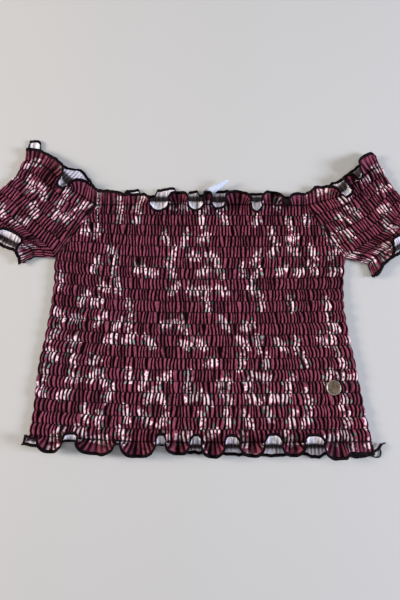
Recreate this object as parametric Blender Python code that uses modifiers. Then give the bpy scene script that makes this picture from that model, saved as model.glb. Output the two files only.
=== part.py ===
"""Off-shoulder shirred top, laid flat on a table: front and back panels, two raglan sleeves,
a metal disc badge and a small neck label. Metres, +Z up, +Y towards the neck. The origin is on
the table under the middle of the body. All sizes below are millimetres, turned to metres by MM."""

import math

import bmesh
import bpy
import numpy as np

MM = 0.001

# Driving dimensions of the shirred body
ROW_SPACING = 10.0
ROW_COUNT = 22
FIRST_ROW_Y = -105.0
LAST_ROW_Y = FIRST_ROW_Y + ROW_SPACING * (ROW_COUNT - 1)
FRONT_COLUMNS = 66
BACK_COLUMNS = 44

# Heights of the flat layers above the table
BACK_TOP = 2.4
LAYER_GAP = 0.3
FRONT_BOTTOM = BACK_TOP + LAYER_GAP
SEAM_GAP = 0.3
RAGLAN_INSET = SEAM_GAP / 2 * math.sqrt(2)

# The shirred wall: thickness at an elastic row, in a valley and on a pleat's crest
ROW_WALL = 1.2
VALLEY_WALL = 1.3
CREST_WALL = 3.1
EDGE_WALL = 1.1
EDGE_BUMP = 1.1
PLEAT_SEED = 7
LOWEST_CREST = 0.82
EDGE_PULL = 6
SETTLE_TURNS = 8

# The ruffles: one wall, bent within this share of the strip's length
RUFFLE_WALL = 1.1
RUFFLE_BEND = 0.34
RUFFLE_LEVELS = (0.16, 0.34, 0.66, 1.0)
RUFFLE_THINNED_BY = 0.3
SEAM_EASE = 26.0
PATH_STEPS = 48
SMALL = 1e-6

# How far the elastic rows rise towards the side seams, at this distance from the middle
RISE_AT = 120.0
BADGE_AT = (114.4, -59.9)
BADGE_DIAMETER = 12.5
BADGE_THICK = 1.6
BADGE_ROUND = 0.45
BADGE_SEAT_RADIUS = 8.5
BADGE_SEAT_WALL = 1.9
LABEL_SIZE = (11.5, 17.0)
LABEL_THICK = 1.0
LABEL_EDGE = 0.3
LABEL_AT = (15.3, 116.6)
LABEL_TURN = -12.0
LABEL_TILT = 5.0
LABEL_LIFT = 0.45


def table(columns, *rows):
    """Named columns from a short table, one row for each section or fold."""
    return dict(zip(columns.split(), np.array(rows, float).T))


ROW_RISE = table(
    "y left right",
    (-105, 4.2, 0.4),
    (-40, 5.2, 0.8),
    (50, 6.5, 2.0),
    (80, 5.0, 0.5),
    (105, 0.6, -3.5),
)

SIDE_SEAM = table(
    "y left right",
    (-105, -145.2, 145.4),
    (-79, -142.0, 140.3),
    (-54, -140.9, 136.6),
    (-36, -139.3, 134.0),
    (-19, -135.8, 130.8),
    (8, -132.0, 127.0),
    (32, -129.8, 127.4),
    (55, -130.6, 130.4),
)
ARMPIT_Y = 55.0
NECK_END_Y = 104.0
NECK_END = {"left": -94.7, "right": 97.2}

FRONT_HEM = table(
    "x turn length spread",
    (-145, 0, 8, -4),
    (-137, 10, 11.5, -2),
    (-124, 8, 12.5, 0),
    (-117, 15, 11, 1),
    (-112.5, 152, 9, 0),
    (-104, 152, 9, 0),
    (-99, 18, 11, -1),
    (-91, 4, 12, 0),
    (-77, 4, 12, 0),
    (-72.5, 20, 10, 1),
    (-70, 120, 9, 0),
    (-67, 120, 9, 0),
    (-64, 15, 11, -1),
    (-57, 4, 12.5, 0),
    (-43, 4, 12.5, 0),
    (-39, 18, 11, 1),
    (-36, 155, 13.5, 0),
    (-29, 155, 13.5, 0),
    (-26, 15, 9.5, -1),
    (-18, 5, 10, 0),
    (-11, 12, 10, 1),
    (-8, 155, 13.5, 0),
    (0, 155, 13.5, 0),
    (4, 12, 10.5, -1),
    (11, 4, 12, 0),
    (18, 12, 11.5, 1),
    (22, 154, 12, 0),
    (32, 154, 12, 0),
    (36, 15, 10.5, -1),
    (44, 4, 11.5, 0),
    (51, 14, 11.5, 1),
    (55, 156, 13.5, 0),
    (68, 156, 13.5, 0),
    (71, 14, 10.5, -1),
    (77, 4, 11.5, 0),
    (84, 14, 11.5, 1),
    (88, 154, 12.5, 0),
    (103, 154, 12.5, 0),
    (108, 14, 13, -1),
    (115, 8, 15, 0),
    (121, 30, 13, 1),
    (127, 6, 11, 0),
    (138, 4, 10.5, 1),
    (145, 0, 9.5, 2),
)

FRONT_NECK = table(
    "x turn length spread",
    (-94.7, 0, 14.5, 0),
    (-86, 6, 14, 0),
    (-77, 8, 12, 0),
    (-68, 10, 11, 1),
    (-63, 24, 9, 0),
    (-56, 8, 9, 0),
    (-50, 20, 9, 1),
    (-45.5, 162, 15, 0),
    (-29, 162, 15, 0),
    (-25, 20, 8.5, -1),
    (-20, 8, 8.5, 0),
    (-15, 20, 8.5, 1),
    (-11, 160, 15, 0),
    (2, 160, 15, 0),
    (5, 18, 11, -1),
    (8, 20, 11, 1),
    (12, 155, 10.5, 0),
    (22.5, 155, 10.5, 0),
    (26, 22, 14, -1),
    (33, 8, 12.5, 0),
    (43, 20, 8, 1),
    (47, 162, 16.5, 0),
    (55, 162, 16.5, 0),
    (58.5, 18, 12, -1),
    (65, 6, 12, 0),
    (72, 18, 10, 1),
    (75.5, 115, 7, 0),
    (80.5, 115, 7, 0),
    (85, 15, 10, -1),
    (91, 6, 11.5, 0),
    (97.2, 0, 11.5, 0),
)

BACK_HEM = table(
    "x turn length spread",
    (-145, 0, 7, -4),
    (-120, 0, 8, 0),
    (-108, 0, 6.5, 0),
    (-85, 0, 9, 0),
    (-69, 0, 8, 0),
    (-50, 0, 9, 0),
    (-32, 0, 5.5, 0),
    (-18, 0, 8, 0),
    (-4, 0, 7, 0),
    (27, 0, 9, 0),
    (62, 0, 10, 0),
    (85, 0, 9, 0),
    (99, 0, 12, 0),
    (112, 0, 8, 0),
    (135, 0, 13, 0),
    (145, 0, 11, 2),
)

BACK_NECK = table(
    "x turn length spread",
    (-94.7, 0, 16.5, 0),
    (-86, 0, 14.5, 0),
    (-74, 0, 10, 0),
    (-63, 0, 14.5, 0),
    (-51, 0, 9, 0),
    (-40, 0, 10, 0),
    (-31, 0, 16, 0),
    (-18, 0, 9, 0),
    (-6.5, 0, 12.5, 0),
    (2, 0, 9, 0),
    (14, 0, 14, 0),
    (28, 0, 14, 0),
    (40, 0, 9, 0),
    (62, 0, 10, 0),
    (80, 0, 9, 0),
    (97.2, 0, 11.5, 0),
)

# The sleeves. Each outline runs from the first to the last point named in its comment. A ruffle's
# share goes from 0 at the front seam by 1 at the outer fold to 2 at the back seam.
SLEEVE_ROWS = 7
RAGLAN_ROWS = 5
SLEEVE_FRONT_COLUMNS = 22
SLEEVE_BACK_COLUMNS = 9
PLAN_STEPS = 41

# The rounded outer fold: how far its three points are tucked in, as shares of the round's depth,
# their heights, and the ruffle shares that they stand at
FOLD_ROUND = 1.6
FOLD_INSIDE = 0.9
FOLD_TUCKS = (0.25, 0.0, 0.25)
FOLD_HEIGHTS = (3.1, 1.9, 0.7)
FOLD_SHARES = (0.985, 1.0, 1.015)
FOLD_STARTS = 0.97

LEFT_SLEEVE = {
    # the way that the cuff ruffle leaves the underarm seam
    "underarm": (-0.88, -0.47),
    # neck row, from the raglan seam to the outer fold
    "neck": table("x y", (-94.7, 104.0), (-105.7, 111.0), (-119.9, 120.5), (-131.5, 130.8), (-144.2, 141.6),
                  (-153.7, 146.6), (-164.0, 148.0)),
    # cuff row, from the underarm seam to the outer fold
    "cuff": table("x y", (-149.4, 55.6), (-150.6, 61.2), (-155.4, 65.8), (-166.6, 70.5), (-178.8, 77.0),
                  (-189.3, 84.6), (-201.0, 94.1)),
    # outer fold, from the neck row to the cuff row
    "fold": table("x y", (-164.0, 148.0), (-167.8, 141.1), (-172.8, 132.2), (-180.5, 123.4), (-190.0, 112.2),
                  (-196.2, 104.0), (-201.0, 94.1)),
    "neck_ruffle": table(
        "share turn length spread",
        (0.0, 0, 15, 0),
        (0.12, 8, 14.5, 0),
        (0.28, 12, 12.5, 0),
        (0.33, 25, 10, 0),
        (0.38, 158, 11, 0),
        (0.46, 158, 11, 0),
        (0.51, 22, 10, 0),
        (0.64, 10, 12.5, 0),
        (0.8, 10, 10.5, 0),
        (0.92, 6, 8, 0),
        (1.0, 30, 12, 0),
        (1.05, 40, 15, 0),
        (1.14, 20, 10, 0),
        (1.3, 0, 11, 0),
        (1.42, 0, 13, 0),
        (1.58, 0, 20, 0),
        (1.8, 0, 17, 0),
        (2.0, 0, 16.5, 0),
    ),
    "cuff_ruffle": table(
        "share turn length spread",
        (0.0, 0, 14, 0),
        (0.08, 10, 14, 0),
        (0.2, 24, 11, 0),
        (0.27, 155, 11, 0),
        (0.58, 155, 11, 0),
        (0.66, 20, 11, 0),
        (0.82, 8, 11, 0),
        (1.0, 0, 10, 0),
        (1.25, 0, 9, 0),
        (1.55, 0, 9, 0),
        (1.8, 0, 6, 0),
        (2.0, 0, 11, 0),
    ),
}

RIGHT_SLEEVE = {
    "underarm": (0.3, -0.95),
    "neck": table("x y", (97.2, 104.0), (108.0, 107.0), (120.0, 110.0), (131.0, 114.8), (140.4, 123.0),
                  (150.1, 131.5), (160.0, 138.6), (168.8, 142.5)),
    "cuff": table("x y", (150.8, 49.1), (156.8, 54.7), (164.0, 60.5), (172.4, 64.9), (181.6, 70.0),
                  (191.3, 79.2), (200.7, 91.4)),
    "fold": table("x y", (168.8, 142.5), (172.8, 132.2), (178.6, 122.5), (184.5, 113.9), (190.2, 106.6),
                  (196.0, 100.2), (200.7, 91.4)),
    "neck_ruffle": table(
        "share turn length spread",
        (0.0, 0, 12, 0),
        (0.12, 8, 14.5, 0),
        (0.28, 10, 12, 0),
        (0.35, 25, 8, 0),
        (0.41, 150, 11, 0),
        (0.50, 150, 11, 0),
        (0.56, 24, 8, 0),
        (0.64, 15, 7, 0),
        (0.70, 120, 7, 0),
        (0.76, 120, 7, 0),
        (0.82, 18, 10, 0),
        (0.93, 10, 13, 0),
        (1.0, 8, 10, 0),
        (1.08, 0, 9, 0),
        (1.3, 0, 8, 0),
        (1.45, 0, 15, 0),
        (1.58, 0, 17, 0),
        (1.74, 0, 12, 0),
        (2.0, 0, 12, 0),
    ),
    "cuff_ruffle": table(
        "share turn length spread",
        (0.0, 0, 12.5, 0),
        (0.1, 8, 12, 0),
        (0.18, 8, 9.5, 0),
        (0.3, 8, 10, 0),
        (0.36, 24, 10, 0),
        (0.42, 155, 11, 0),
        (0.62, 155, 11, 0),
        (0.7, 20, 11, 0),
        (0.84, 8, 11, 0),
        (1.0, 0, 10, 0),
        (1.3, 0, 8, 0),
        (1.55, 0, 6, 0),
        (1.75, 0, 9, 0),
        (1.9, 0, 14, 0),
        (2.0, 0, 12, 0),
    ),
}

MATERIALS = {
    "shirred_print": {"colour": (0.105, 0.037, 0.052), "roughness": 0.78, "metallic": 0.0},
    "antique_brass": {"colour": (0.24, 0.19, 0.15), "roughness": 0.38, "metallic": 1.0},
    "label_satin": {"colour": (0.55, 0.6, 0.68), "roughness": 0.55, "metallic": 0.0},
}


def clear_scene():
    for obj in list(bpy.data.objects):
        bpy.data.objects.remove(obj, do_unlink=True)


def make_material(name):
    facts = MATERIALS[name]
    material = bpy.data.materials.new(name)
    material.use_nodes = True
    shader = material.node_tree.nodes["Principled BSDF"]
    shader.inputs["Base Color"].default_value = (*facts["colour"], 1.0)
    shader.inputs["Roughness"].default_value = facts["roughness"]
    shader.inputs["Metallic"].default_value = facts["metallic"]
    return material


def smooth(t):
    """An ease from 0 to 1 with level ends."""
    t = np.clip(t, 0.0, 1.0)
    return t * t * (3.0 - 2.0 * t)


def eased(at, places, values):
    """Values between the table's rows, eased so that a fold has no corners."""
    at = np.clip(np.asarray(at, float), places[0], places[-1])
    i = np.clip(np.searchsorted(places, at, side="right") - 1, 0, len(places) - 2)
    t = smooth((at - places[i]) / (places[i + 1] - places[i]))
    return values[i] + t * (values[i + 1] - values[i])


def smooth_curve(points, share):
    """Points on a Catmull-Rom curve through an outline, spaced by length. share is 0 to 1."""
    ends = np.vstack([2 * points[0] - points[1], points, 2 * points[-1] - points[-2]])
    t = np.linspace(0, 1, PATH_STEPS, endpoint=False)[:, None]
    dense = []
    for a, b, c, d in zip(ends, ends[1:], ends[2:], ends[3:]):
        dense.append(0.5 * (2 * b + (c - a) * t + (2 * a - 5 * b + 4 * c - d) * t**2
                            + (3 * b - a - 3 * c + d) * t**3))
    dense = np.vstack([*dense, points[-1:]])
    along = np.concatenate([[0], np.cumsum(np.linalg.norm(np.diff(dense, axis=0), axis=1))])
    return np.stack([np.interp(np.asarray(share) * along[-1], along, dense[:, k]) for k in (0, 1)], axis=-1)


def row_rise(x, y):
    """How much higher an elastic row lies at x than at the middle."""
    side = np.where(x < 0, np.interp(y, ROW_RISE["y"], ROW_RISE["left"]),
                    np.interp(y, ROW_RISE["y"], ROW_RISE["right"]))
    return side * (x / RISE_AT) ** 2


def body_edge(y, side):
    """The seam's x at a height y: the side seam up to the armpit, then the straight raglan seam."""
    seam = SIDE_SEAM[side]
    raglan = np.interp(y, [ARMPIT_Y, NECK_END_Y], [seam[-1], NECK_END[side]])
    return np.where(y < ARMPIT_Y, np.interp(y, SIDE_SEAM["y"], seam), raglan)


def edge_points(row_y, side):
    """Where each elastic row meets the seam. A few turns settle the rise, which depends on x."""
    y = np.array(row_y, float)
    for _ in range(SETTLE_TURNS):
        y = row_y + row_rise(body_edge(y, side), row_y)
    y[-1] = NECK_END_Y
    return body_edge(y, side), y


def body_grid(columns):
    """Plan points of a body panel, two rows of points for each elastic row, and the row numbers."""
    row = np.arange(2 * ROW_COUNT - 1) / 2
    row_y = FIRST_ROW_Y + ROW_SPACING * row
    share = np.linspace(0, 1, columns + 1)
    bump = EDGE_BUMP * np.sin(np.pi * row) ** 2
    ends = {}
    for side, inward in (("left", 1), ("right", -1)):
        x, y = edge_points(row_y, side)
        ends[side] = (x + inward * np.where(y > ARMPIT_Y, RAGLAN_INSET, -bump), y)
    x = ends["left"][0][:, None] * (1 - share) + ends["right"][0][:, None] * share
    y = row_y[:, None] + row_rise(x, row_y[:, None])
    y = y + (ends["left"][1] - y[:, 0])[:, None] * (1 - share) ** EDGE_PULL
    y = y + (ends["right"][1] - y[:, -1])[:, None] * share ** EDGE_PULL
    return np.stack([x, y], axis=-1), row


def pleats(rows, columns, seed):
    """The outer wall's thickness: pleats stand up between the elastic rows and shift from row to row."""
    random = np.random.default_rng(seed)
    wall = np.full((len(rows), columns + 1), ROW_WALL)
    for i, row in enumerate(rows):
        if row % 1 == 0:
            continue
        shift = random.integers(0, 2)
        crest = (np.arange(columns + 1) + shift) % 2 == 0
        height = random.uniform(LOWEST_CREST, 1.0, columns + 1)
        wall[i] = np.where(crest, VALLEY_WALL + height * (CREST_WALL - VALLEY_WALL), VALLEY_WALL)
    wall[:, 0] = EDGE_WALL
    wall[:, -1] = EDGE_WALL
    return wall


def heights(plan, z):
    return np.concatenate([plan, np.broadcast_to(z, plan.shape[:2])[..., None]], axis=-1)


def run_of(slope):
    """The distance covered along a strip of length 1, from its slope at each step."""
    middles = (slope[:, 1:] + slope[:, :-1]) / 2 / PATH_STEPS
    return np.concatenate([np.zeros((len(slope), 1)), np.cumsum(middles, axis=1)], axis=1)


def strip(base_outer, base_inner, outward, fold, thin_down):
    """Rows of outer and inner points of a ruffle that leaves a panel's last row. fold holds turn,
    length and spread for each column. thin_down is 1 where the strip keeps its underside flat."""
    turn = np.radians(fold["turn"])
    middle = (base_outer + base_inner) / 2
    half = np.linalg.norm(base_outer - base_inner, axis=1) / 2
    along = np.gradient(middle, axis=0)
    along[:, 2] = 0
    along /= np.maximum(np.linalg.norm(along, axis=1), SMALL)[:, None]
    steps = np.linspace(0, 1, PATH_STEPS + 1)
    angle = turn[:, None] * np.minimum(steps / RUFFLE_BEND, 1)
    out, up = run_of(np.cos(angle)), run_of(np.sin(angle))
    rows = [middle]
    walls = [half]
    for level in RUFFLE_LEVELS:
        at_out = np.array([np.interp(level, steps, line) for line in out])
        at_up = np.array([np.interp(level, steps, line) for line in up])
        wall = half + (RUFFLE_WALL / 2 - half) * min(1.0, level / RUFFLE_THINNED_BY)
        move = (at_out * fold["length"])[:, None] * outward
        move = move + (level * fold["spread"])[:, None] * along
        place = middle + move
        place[:, 2] += at_up * fold["length"] + thin_down * (wall - half)
        rows.append(place)
        walls.append(wall)
    rows = np.array(rows)
    normal = np.cross(np.gradient(rows, axis=1), np.gradient(rows, axis=0))
    normal /= np.linalg.norm(normal, axis=-1)[..., None]
    facing = np.sign(np.sum(normal[0] * (base_outer - base_inner), axis=-1))
    normal *= facing[None, :, None]
    flat = (turn < SMALL) & (thin_down > 0)
    normal[:, flat] = (base_outer - base_inner)[flat] / (2 * half[flat])[:, None]
    walls = np.array(walls)[..., None]
    return (rows + normal * walls)[1:], (rows - normal * walls)[1:]


def fold_values(ruffle, key, at):
    return {name: eased(at, ruffle[key], ruffle[name]) for name in ("turn", "length", "spread")}


def normals_in_plan(line, towards):
    """Unit vectors square to a row in plan, on the side of the given direction."""
    along = np.gradient(line[:, :2], axis=0)
    across = np.stack([along[:, 1], -along[:, 0]], axis=1)
    across /= np.linalg.norm(across, axis=1)[:, None]
    across *= np.sign(across @ np.array(towards, float))[:, None]
    return np.column_stack([across, np.zeros(len(line))])


def ease_to_seam(outward, line, end, seam):
    """Turns the ruffle's directions to the seam's own direction at one end of a row."""
    seam = np.array([*seam, 0.0]) / np.linalg.norm(seam)
    near = np.linalg.norm(line - line[end], axis=1)
    share = smooth(near / SEAM_EASE)[:, None]
    turned = share * outward + (1 - share) * seam
    return turned / np.linalg.norm(turned, axis=1)[:, None]


def wall_object(name, outer, inner, material, collection):
    """A closed wall between two grids of points. Each flat stretch becomes one face."""
    rows, columns = outer.shape[:2]
    mesh = bmesh.new()
    sheets = [[[mesh.verts.new(p * MM) for p in line] for line in grid] for grid in (outer, inner)]
    plain = {}
    for side, (sheet, grid) in enumerate(zip(sheets, (outer, inner))):
        for i in range(rows - 1):
            for j in range(columns - 1):
                corners = [sheet[i][j], sheet[i][j + 1], sheet[i + 1][j + 1], sheet[i + 1][j]]
                face = mesh.faces.new(corners if side == 0 else corners[::-1])
                z = grid[i:i + 2, j:j + 2, 2]
                if np.ptp(z) < SMALL:
                    plain.setdefault((side, round(float(z[0, 0]), 3)), []).append(face)
    border = ([(0, j) for j in range(columns)]
              + [(i, columns - 1) for i in range(1, rows)]
              + [(rows - 1, j) for j in range(columns - 2, -1, -1)]
              + [(i, 0) for i in range(rows - 2, 0, -1)])
    over, under = sheets
    for (i, j), (k, m) in zip(border, border[1:] + border[:1]):
        mesh.faces.new([over[k][m], over[i][j], under[i][j], under[k][m]])
    for faces in plain.values():
        bmesh.ops.dissolve_faces(mesh, faces=faces, use_verts=False)
    if mesh.calc_volume(signed=True) < 0:
        bmesh.ops.reverse_faces(mesh, faces=mesh.faces)
    data = bpy.data.meshes.new(name)
    mesh.to_mesh(data)
    mesh.free()
    data.materials.append(material)
    obj = bpy.data.objects.new(name, data)
    collection.objects.link(obj)
    return obj


def body_panel(name, columns, neck, hem, top_layer, material, collection):
    """A body panel in one with its two ruffles. The top layer carries the raised shirring."""
    plan, row = body_grid(columns)
    if top_layer:
        wall = pleats(row, columns, PLEAT_SEED)
        seat = np.linalg.norm(plan - np.array(BADGE_AT), axis=-1) < BADGE_SEAT_RADIUS
        wall = np.where(seat, np.minimum(wall, BADGE_SEAT_WALL), wall)
        outer = heights(plan, FRONT_BOTTOM + wall)
        inner = heights(plan, FRONT_BOTTOM)
    else:
        outer = heights(plan, 0.0)
        inner = heights(plan, BACK_TOP)
    flat = np.full(columns + 1, 0.0 if top_layer else 1.0)
    neck_fold = fold_values(neck, "x", plan[-1, :, 0])
    hem_fold = fold_values(hem, "x", plan[0, :, 0])
    neck_out = normals_in_plan(plan[-1], (0, 1))
    hem_out = normals_in_plan(plan[0], (0, -1))
    for end in (0, -1):
        neck_out = ease_to_seam(neck_out, plan[-1], end, (0, 1))
    above = strip(outer[-1], inner[-1], neck_out, neck_fold, flat)
    below = strip(outer[0], inner[0], hem_out, hem_fold, flat)
    outer = np.concatenate([below[0][::-1], outer, above[0]])
    inner = np.concatenate([below[1][::-1], inner, above[1]])
    return wall_object(name, outer, inner, material, collection)


def sleeve_plan(shape, share, down):
    """Plan points of a sleeve between its neck row, cuff row, inner seams and outer fold. share is
    0 at the inner seams and 1 at the fold, down is 0 at the neck row and 1 at the cuff row."""
    outline = {key: np.column_stack([shape[key]["x"], shape[key]["y"]]) for key in ("neck", "cuff", "fold")}
    armpit = shape["armpit"]
    raglan_share = RAGLAN_ROWS / SLEEVE_ROWS
    at = down[:, None]
    inner_seam = np.where(
        at <= raglan_share,
        outline["neck"][0] + (armpit - outline["neck"][0]) * at / raglan_share,
        armpit + (outline["cuff"][0] - armpit) * (at - raglan_share) / (1 - raglan_share),
    )
    fold = smooth_curve(outline["fold"], down)
    neck = smooth_curve(outline["neck"], share)
    cuff = smooth_curve(outline["cuff"], share)
    s = share[None, :, None]
    t = down[:, None, None]
    corners = (1 - s) * (1 - t) * neck[0] + s * (1 - t) * neck[-1] + (1 - s) * t * cuff[0] + s * t * cuff[-1]
    return (1 - t) * neck + t * cuff + (1 - s) * inner_seam[:, None] + s * fold[:, None] - corners


def sleeve_points(plan, shares):
    """Plan points read from a fine plan grid at each row's own shares."""
    every = np.linspace(0, 1, plan.shape[1])
    return np.stack([[np.interp(line, every, row[:, k]) for line, row in zip(shares, plan)] for k in (0, 1)],
                    axis=-1)


def around_fold(front, back, towards, seam):
    """A sleeve ruffle's directions: over the front layer, round the fold and along the back layer."""
    over = ease_to_seam(normals_in_plan(front, towards), front, 0, seam)
    under = ease_to_seam(normals_in_plan(back, towards), back, -1, seam)
    return np.concatenate([over, np.repeat(over[-1:], len(FOLD_TUCKS), axis=0), under])


def sleeve(name, side, shape, seed, material, collection):
    """One cut piece folded at its outer edge, with a front layer, a rounded fold and a back layer."""
    outwards = -1 if side == "left" else 1
    shape = dict(shape, armpit=np.array([body_edge(np.array(ARMPIT_Y), side), ARMPIT_Y], float))
    rows = np.arange(2 * SLEEVE_ROWS + 1) / 2
    plan = sleeve_plan(shape, np.linspace(0, 1, PLAN_STEPS), rows / SLEEVE_ROWS)
    width = np.linalg.norm(plan[:, -1] - plan[:, 0], axis=1)[:, None]
    tuck = FOLD_ROUND / width
    gap = SEAM_GAP / 2 / width
    front = np.linspace(0, 1, SLEEVE_FRONT_COLUMNS + 1)
    back = np.linspace(1, 0, SLEEVE_BACK_COLUMNS + 1)
    plan_front = sleeve_points(plan, gap + (1 - tuck - gap) * front)
    plan_back = sleeve_points(plan, gap + (1 - tuck - gap) * back)
    plan_fold = sleeve_points(plan, 1 - tuck * np.array(FOLD_TUCKS))
    inside_fold = sleeve_points(plan, 1 - tuck * np.full(len(FOLD_TUCKS), FOLD_INSIDE))
    away = plan_fold[:, 1:2] - sleeve_points(plan, 1 - tuck)
    bump = EDGE_BUMP * np.sin(np.pi * rows) ** 2 / FOLD_ROUND
    plan_fold = plan_fold + away * bump[:, None, None]
    wall = pleats(rows, SLEEVE_FRONT_COLUMNS, seed)
    outer = np.concatenate([
        heights(plan_front, FRONT_BOTTOM + wall),
        heights(plan_fold, np.array(FOLD_HEIGHTS)[None, :]),
        heights(plan_back, 0.0),
    ], axis=1)
    inner = np.concatenate([
        heights(plan_front, FRONT_BOTTOM),
        heights(inside_fold, np.array([FRONT_BOTTOM, BACK_TOP + LAYER_GAP / 2, BACK_TOP])[None, :]),
        heights(plan_back, BACK_TOP),
    ], axis=1)
    share = np.concatenate([front * FOLD_STARTS, FOLD_SHARES, 2 - back * FOLD_STARTS])
    flat = np.concatenate([np.zeros(len(front) + 1), np.ones(len(back) + 2)])
    neck_out = around_fold(plan_front[0], plan_back[0], (-outwards, 2), (0, 1))
    cuff_out = around_fold(plan_front[-1], plan_back[-1], (outwards, -2), shape["underarm"])
    above = strip(outer[0], inner[0], neck_out, fold_values(shape["neck_ruffle"], "share", share), flat)
    below = strip(outer[-1], inner[-1], cuff_out, fold_values(shape["cuff_ruffle"], "share", share), flat)
    outer = np.concatenate([above[0][::-1], outer, below[0]])
    inner = np.concatenate([above[1][::-1], inner, below[1]])
    return wall_object(name, outer, inner, material, collection)


def badge(material, collection):
    """A plain round metal disc with a rounded rim, lying on the front."""
    middle = FRONT_BOTTOM + BADGE_SEAT_WALL + LAYER_GAP + BADGE_THICK / 2
    bpy.ops.mesh.primitive_cylinder_add(
        vertices=40,
        radius=BADGE_DIAMETER / 2 * MM,
        depth=BADGE_THICK * MM,
        location=(BADGE_AT[0] * MM, BADGE_AT[1] * MM, middle * MM),
    )
    obj = bpy.context.active_object
    obj.name = "badge"
    rim = obj.modifiers.new("rim", "BEVEL")
    rim.width = BADGE_ROUND * MM
    rim.segments = 2
    rim.limit_method = "ANGLE"
    place(obj, material, collection)


def neck_label(material, collection):
    """A small plain woven label that stands out over the back's neck ruffle."""
    rise = LABEL_SIZE[1] / 2 * math.sin(math.radians(LABEL_TILT))
    middle = FRONT_BOTTOM + LABEL_LIFT + LABEL_THICK / 2 + rise
    bpy.ops.mesh.primitive_cube_add(
        size=1,
        location=(LABEL_AT[0] * MM, LABEL_AT[1] * MM, middle * MM),
        rotation=(math.radians(LABEL_TILT), 0, math.radians(LABEL_TURN)),
    )
    obj = bpy.context.active_object
    obj.name = "neck_label"
    obj.scale = (LABEL_SIZE[0] * MM, LABEL_SIZE[1] * MM, LABEL_THICK * MM)
    bpy.ops.object.transform_apply(location=False, rotation=False, scale=True)
    edge = obj.modifiers.new("soft edge", "BEVEL")
    edge.width = LABEL_EDGE * MM
    edge.segments = 1
    place(obj, material, collection)


def place(obj, material, collection):
    obj.data.materials.append(material)
    for other in list(obj.users_collection):
        other.objects.unlink(obj)
    collection.objects.link(obj)


def main():
    clear_scene()
    collection = bpy.data.collections.new("off_shoulder_top")
    bpy.context.scene.collection.children.link(collection)
    cloth = make_material("shirred_print")
    body_panel("body_back", BACK_COLUMNS, BACK_NECK, BACK_HEM, False, cloth, collection)
    body_panel("body_front", FRONT_COLUMNS, FRONT_NECK, FRONT_HEM, True, cloth, collection)
    sleeve("sleeve_left", "left", LEFT_SLEEVE, PLEAT_SEED + 1, cloth, collection)
    sleeve("sleeve_right", "right", RIGHT_SLEEVE, PLEAT_SEED + 2, cloth, collection)
    badge(make_material("antique_brass"), collection)
    neck_label(make_material("label_satin"), collection)


main()
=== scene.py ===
# %% [markdown]
# # An off-shoulder top of shirred cotton, laid flat
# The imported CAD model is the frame: it gives the sizes and the places. It is loaded first, so that
# each piece of cloth below can be laid exactly where its plain solid lies.

# %% Load the frame
import math

import bpy
import numpy as np
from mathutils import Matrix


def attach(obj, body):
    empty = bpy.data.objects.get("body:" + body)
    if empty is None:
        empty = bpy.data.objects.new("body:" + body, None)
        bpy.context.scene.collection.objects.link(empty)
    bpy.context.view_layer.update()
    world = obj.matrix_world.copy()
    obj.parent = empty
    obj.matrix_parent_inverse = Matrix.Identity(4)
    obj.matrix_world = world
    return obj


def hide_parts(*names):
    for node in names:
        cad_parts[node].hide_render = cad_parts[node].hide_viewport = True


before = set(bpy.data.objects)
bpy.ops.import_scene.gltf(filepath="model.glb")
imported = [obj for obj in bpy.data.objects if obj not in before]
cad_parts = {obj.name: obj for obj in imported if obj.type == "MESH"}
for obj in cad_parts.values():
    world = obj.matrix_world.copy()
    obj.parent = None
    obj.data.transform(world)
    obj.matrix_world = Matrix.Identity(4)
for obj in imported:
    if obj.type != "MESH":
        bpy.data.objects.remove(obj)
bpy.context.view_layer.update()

MM = 0.001
print("nodes:", sorted(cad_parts))

# %% [markdown]
# ## The camera
# The photograph was taken with a phone held over the table and tilted a little towards the neck.
# Its height and tilt were fitted to the elastic rows, which are sewn at an even distance.

# %% Camera
CAMERA_AT = (0.0, -0.046, 0.398)
CAMERA_TILT = 9.0
CAMERA_LENS = 27.0


def deselect():
    """Clears the selection, because an operator acts on all that is selected."""
    bpy.ops.object.select_all(action="DESELECT")


deselect()
bpy.ops.object.camera_add(location=CAMERA_AT, rotation=(math.radians(CAMERA_TILT), 0, 0))
camera = bpy.context.active_object
camera.data.lens = CAMERA_LENS
camera.data.clip_start = 0.01
bpy.context.scene.camera = camera
bpy.context.scene.view_settings.view_transform = "Standard"
print("camera:", CAMERA_AT, "tilt", CAMERA_TILT, "lens", CAMERA_LENS)

# %% [markdown]
# ## Colours and nodes
# Colours are written as they are seen on a screen, and one function turns them to the linear values
# that a shader works with. One more function adds a node, sets it and links it.

# %% Helpers for materials
def linear(seen, alpha=1.0):
    """An sRGB hex value as linear red, green, blue and alpha."""
    parts = [int(seen[i:i + 2], 16) / 255 for i in (1, 3, 5)]
    return (*[p / 12.92 if p <= 0.04045 else ((p + 0.055) / 1.055) ** 2.4 for p in parts], alpha)


def add(tree, kind, inputs=None, **settings):
    """Adds a node with its settings. An input is given a value, or the socket that it is linked to."""
    made = tree.nodes.new("ShaderNode" + kind)
    for name, value in settings.items():
        setattr(made, name, value)
    for socket, value in (inputs or {}).items():
        if isinstance(value, bpy.types.NodeSocket):
            tree.links.new(value, made.inputs[socket])
        else:
            made.inputs[socket].default_value = value
    return made


def math_node(tree, operation, *values):
    """The result of one sum on numbers."""
    return add(tree, "Math", dict(enumerate(values)), operation=operation).outputs[0]


def vector_node(tree, operation, *values):
    """The result of one sum on vectors. A length or a distance comes out as a number."""
    made = add(tree, "VectorMath", dict(enumerate(values)), operation=operation)
    return made.outputs["Value" if operation in ("LENGTH", "DISTANCE") else "Vector"]


def ramp(tree, value, low, high, *ends):
    """Turns a value from low to high into a share from 0 to 1, or into the two ends given."""
    return add(tree, "MapRange", dict(enumerate((value, low, high, *ends)))).outputs[0]


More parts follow.
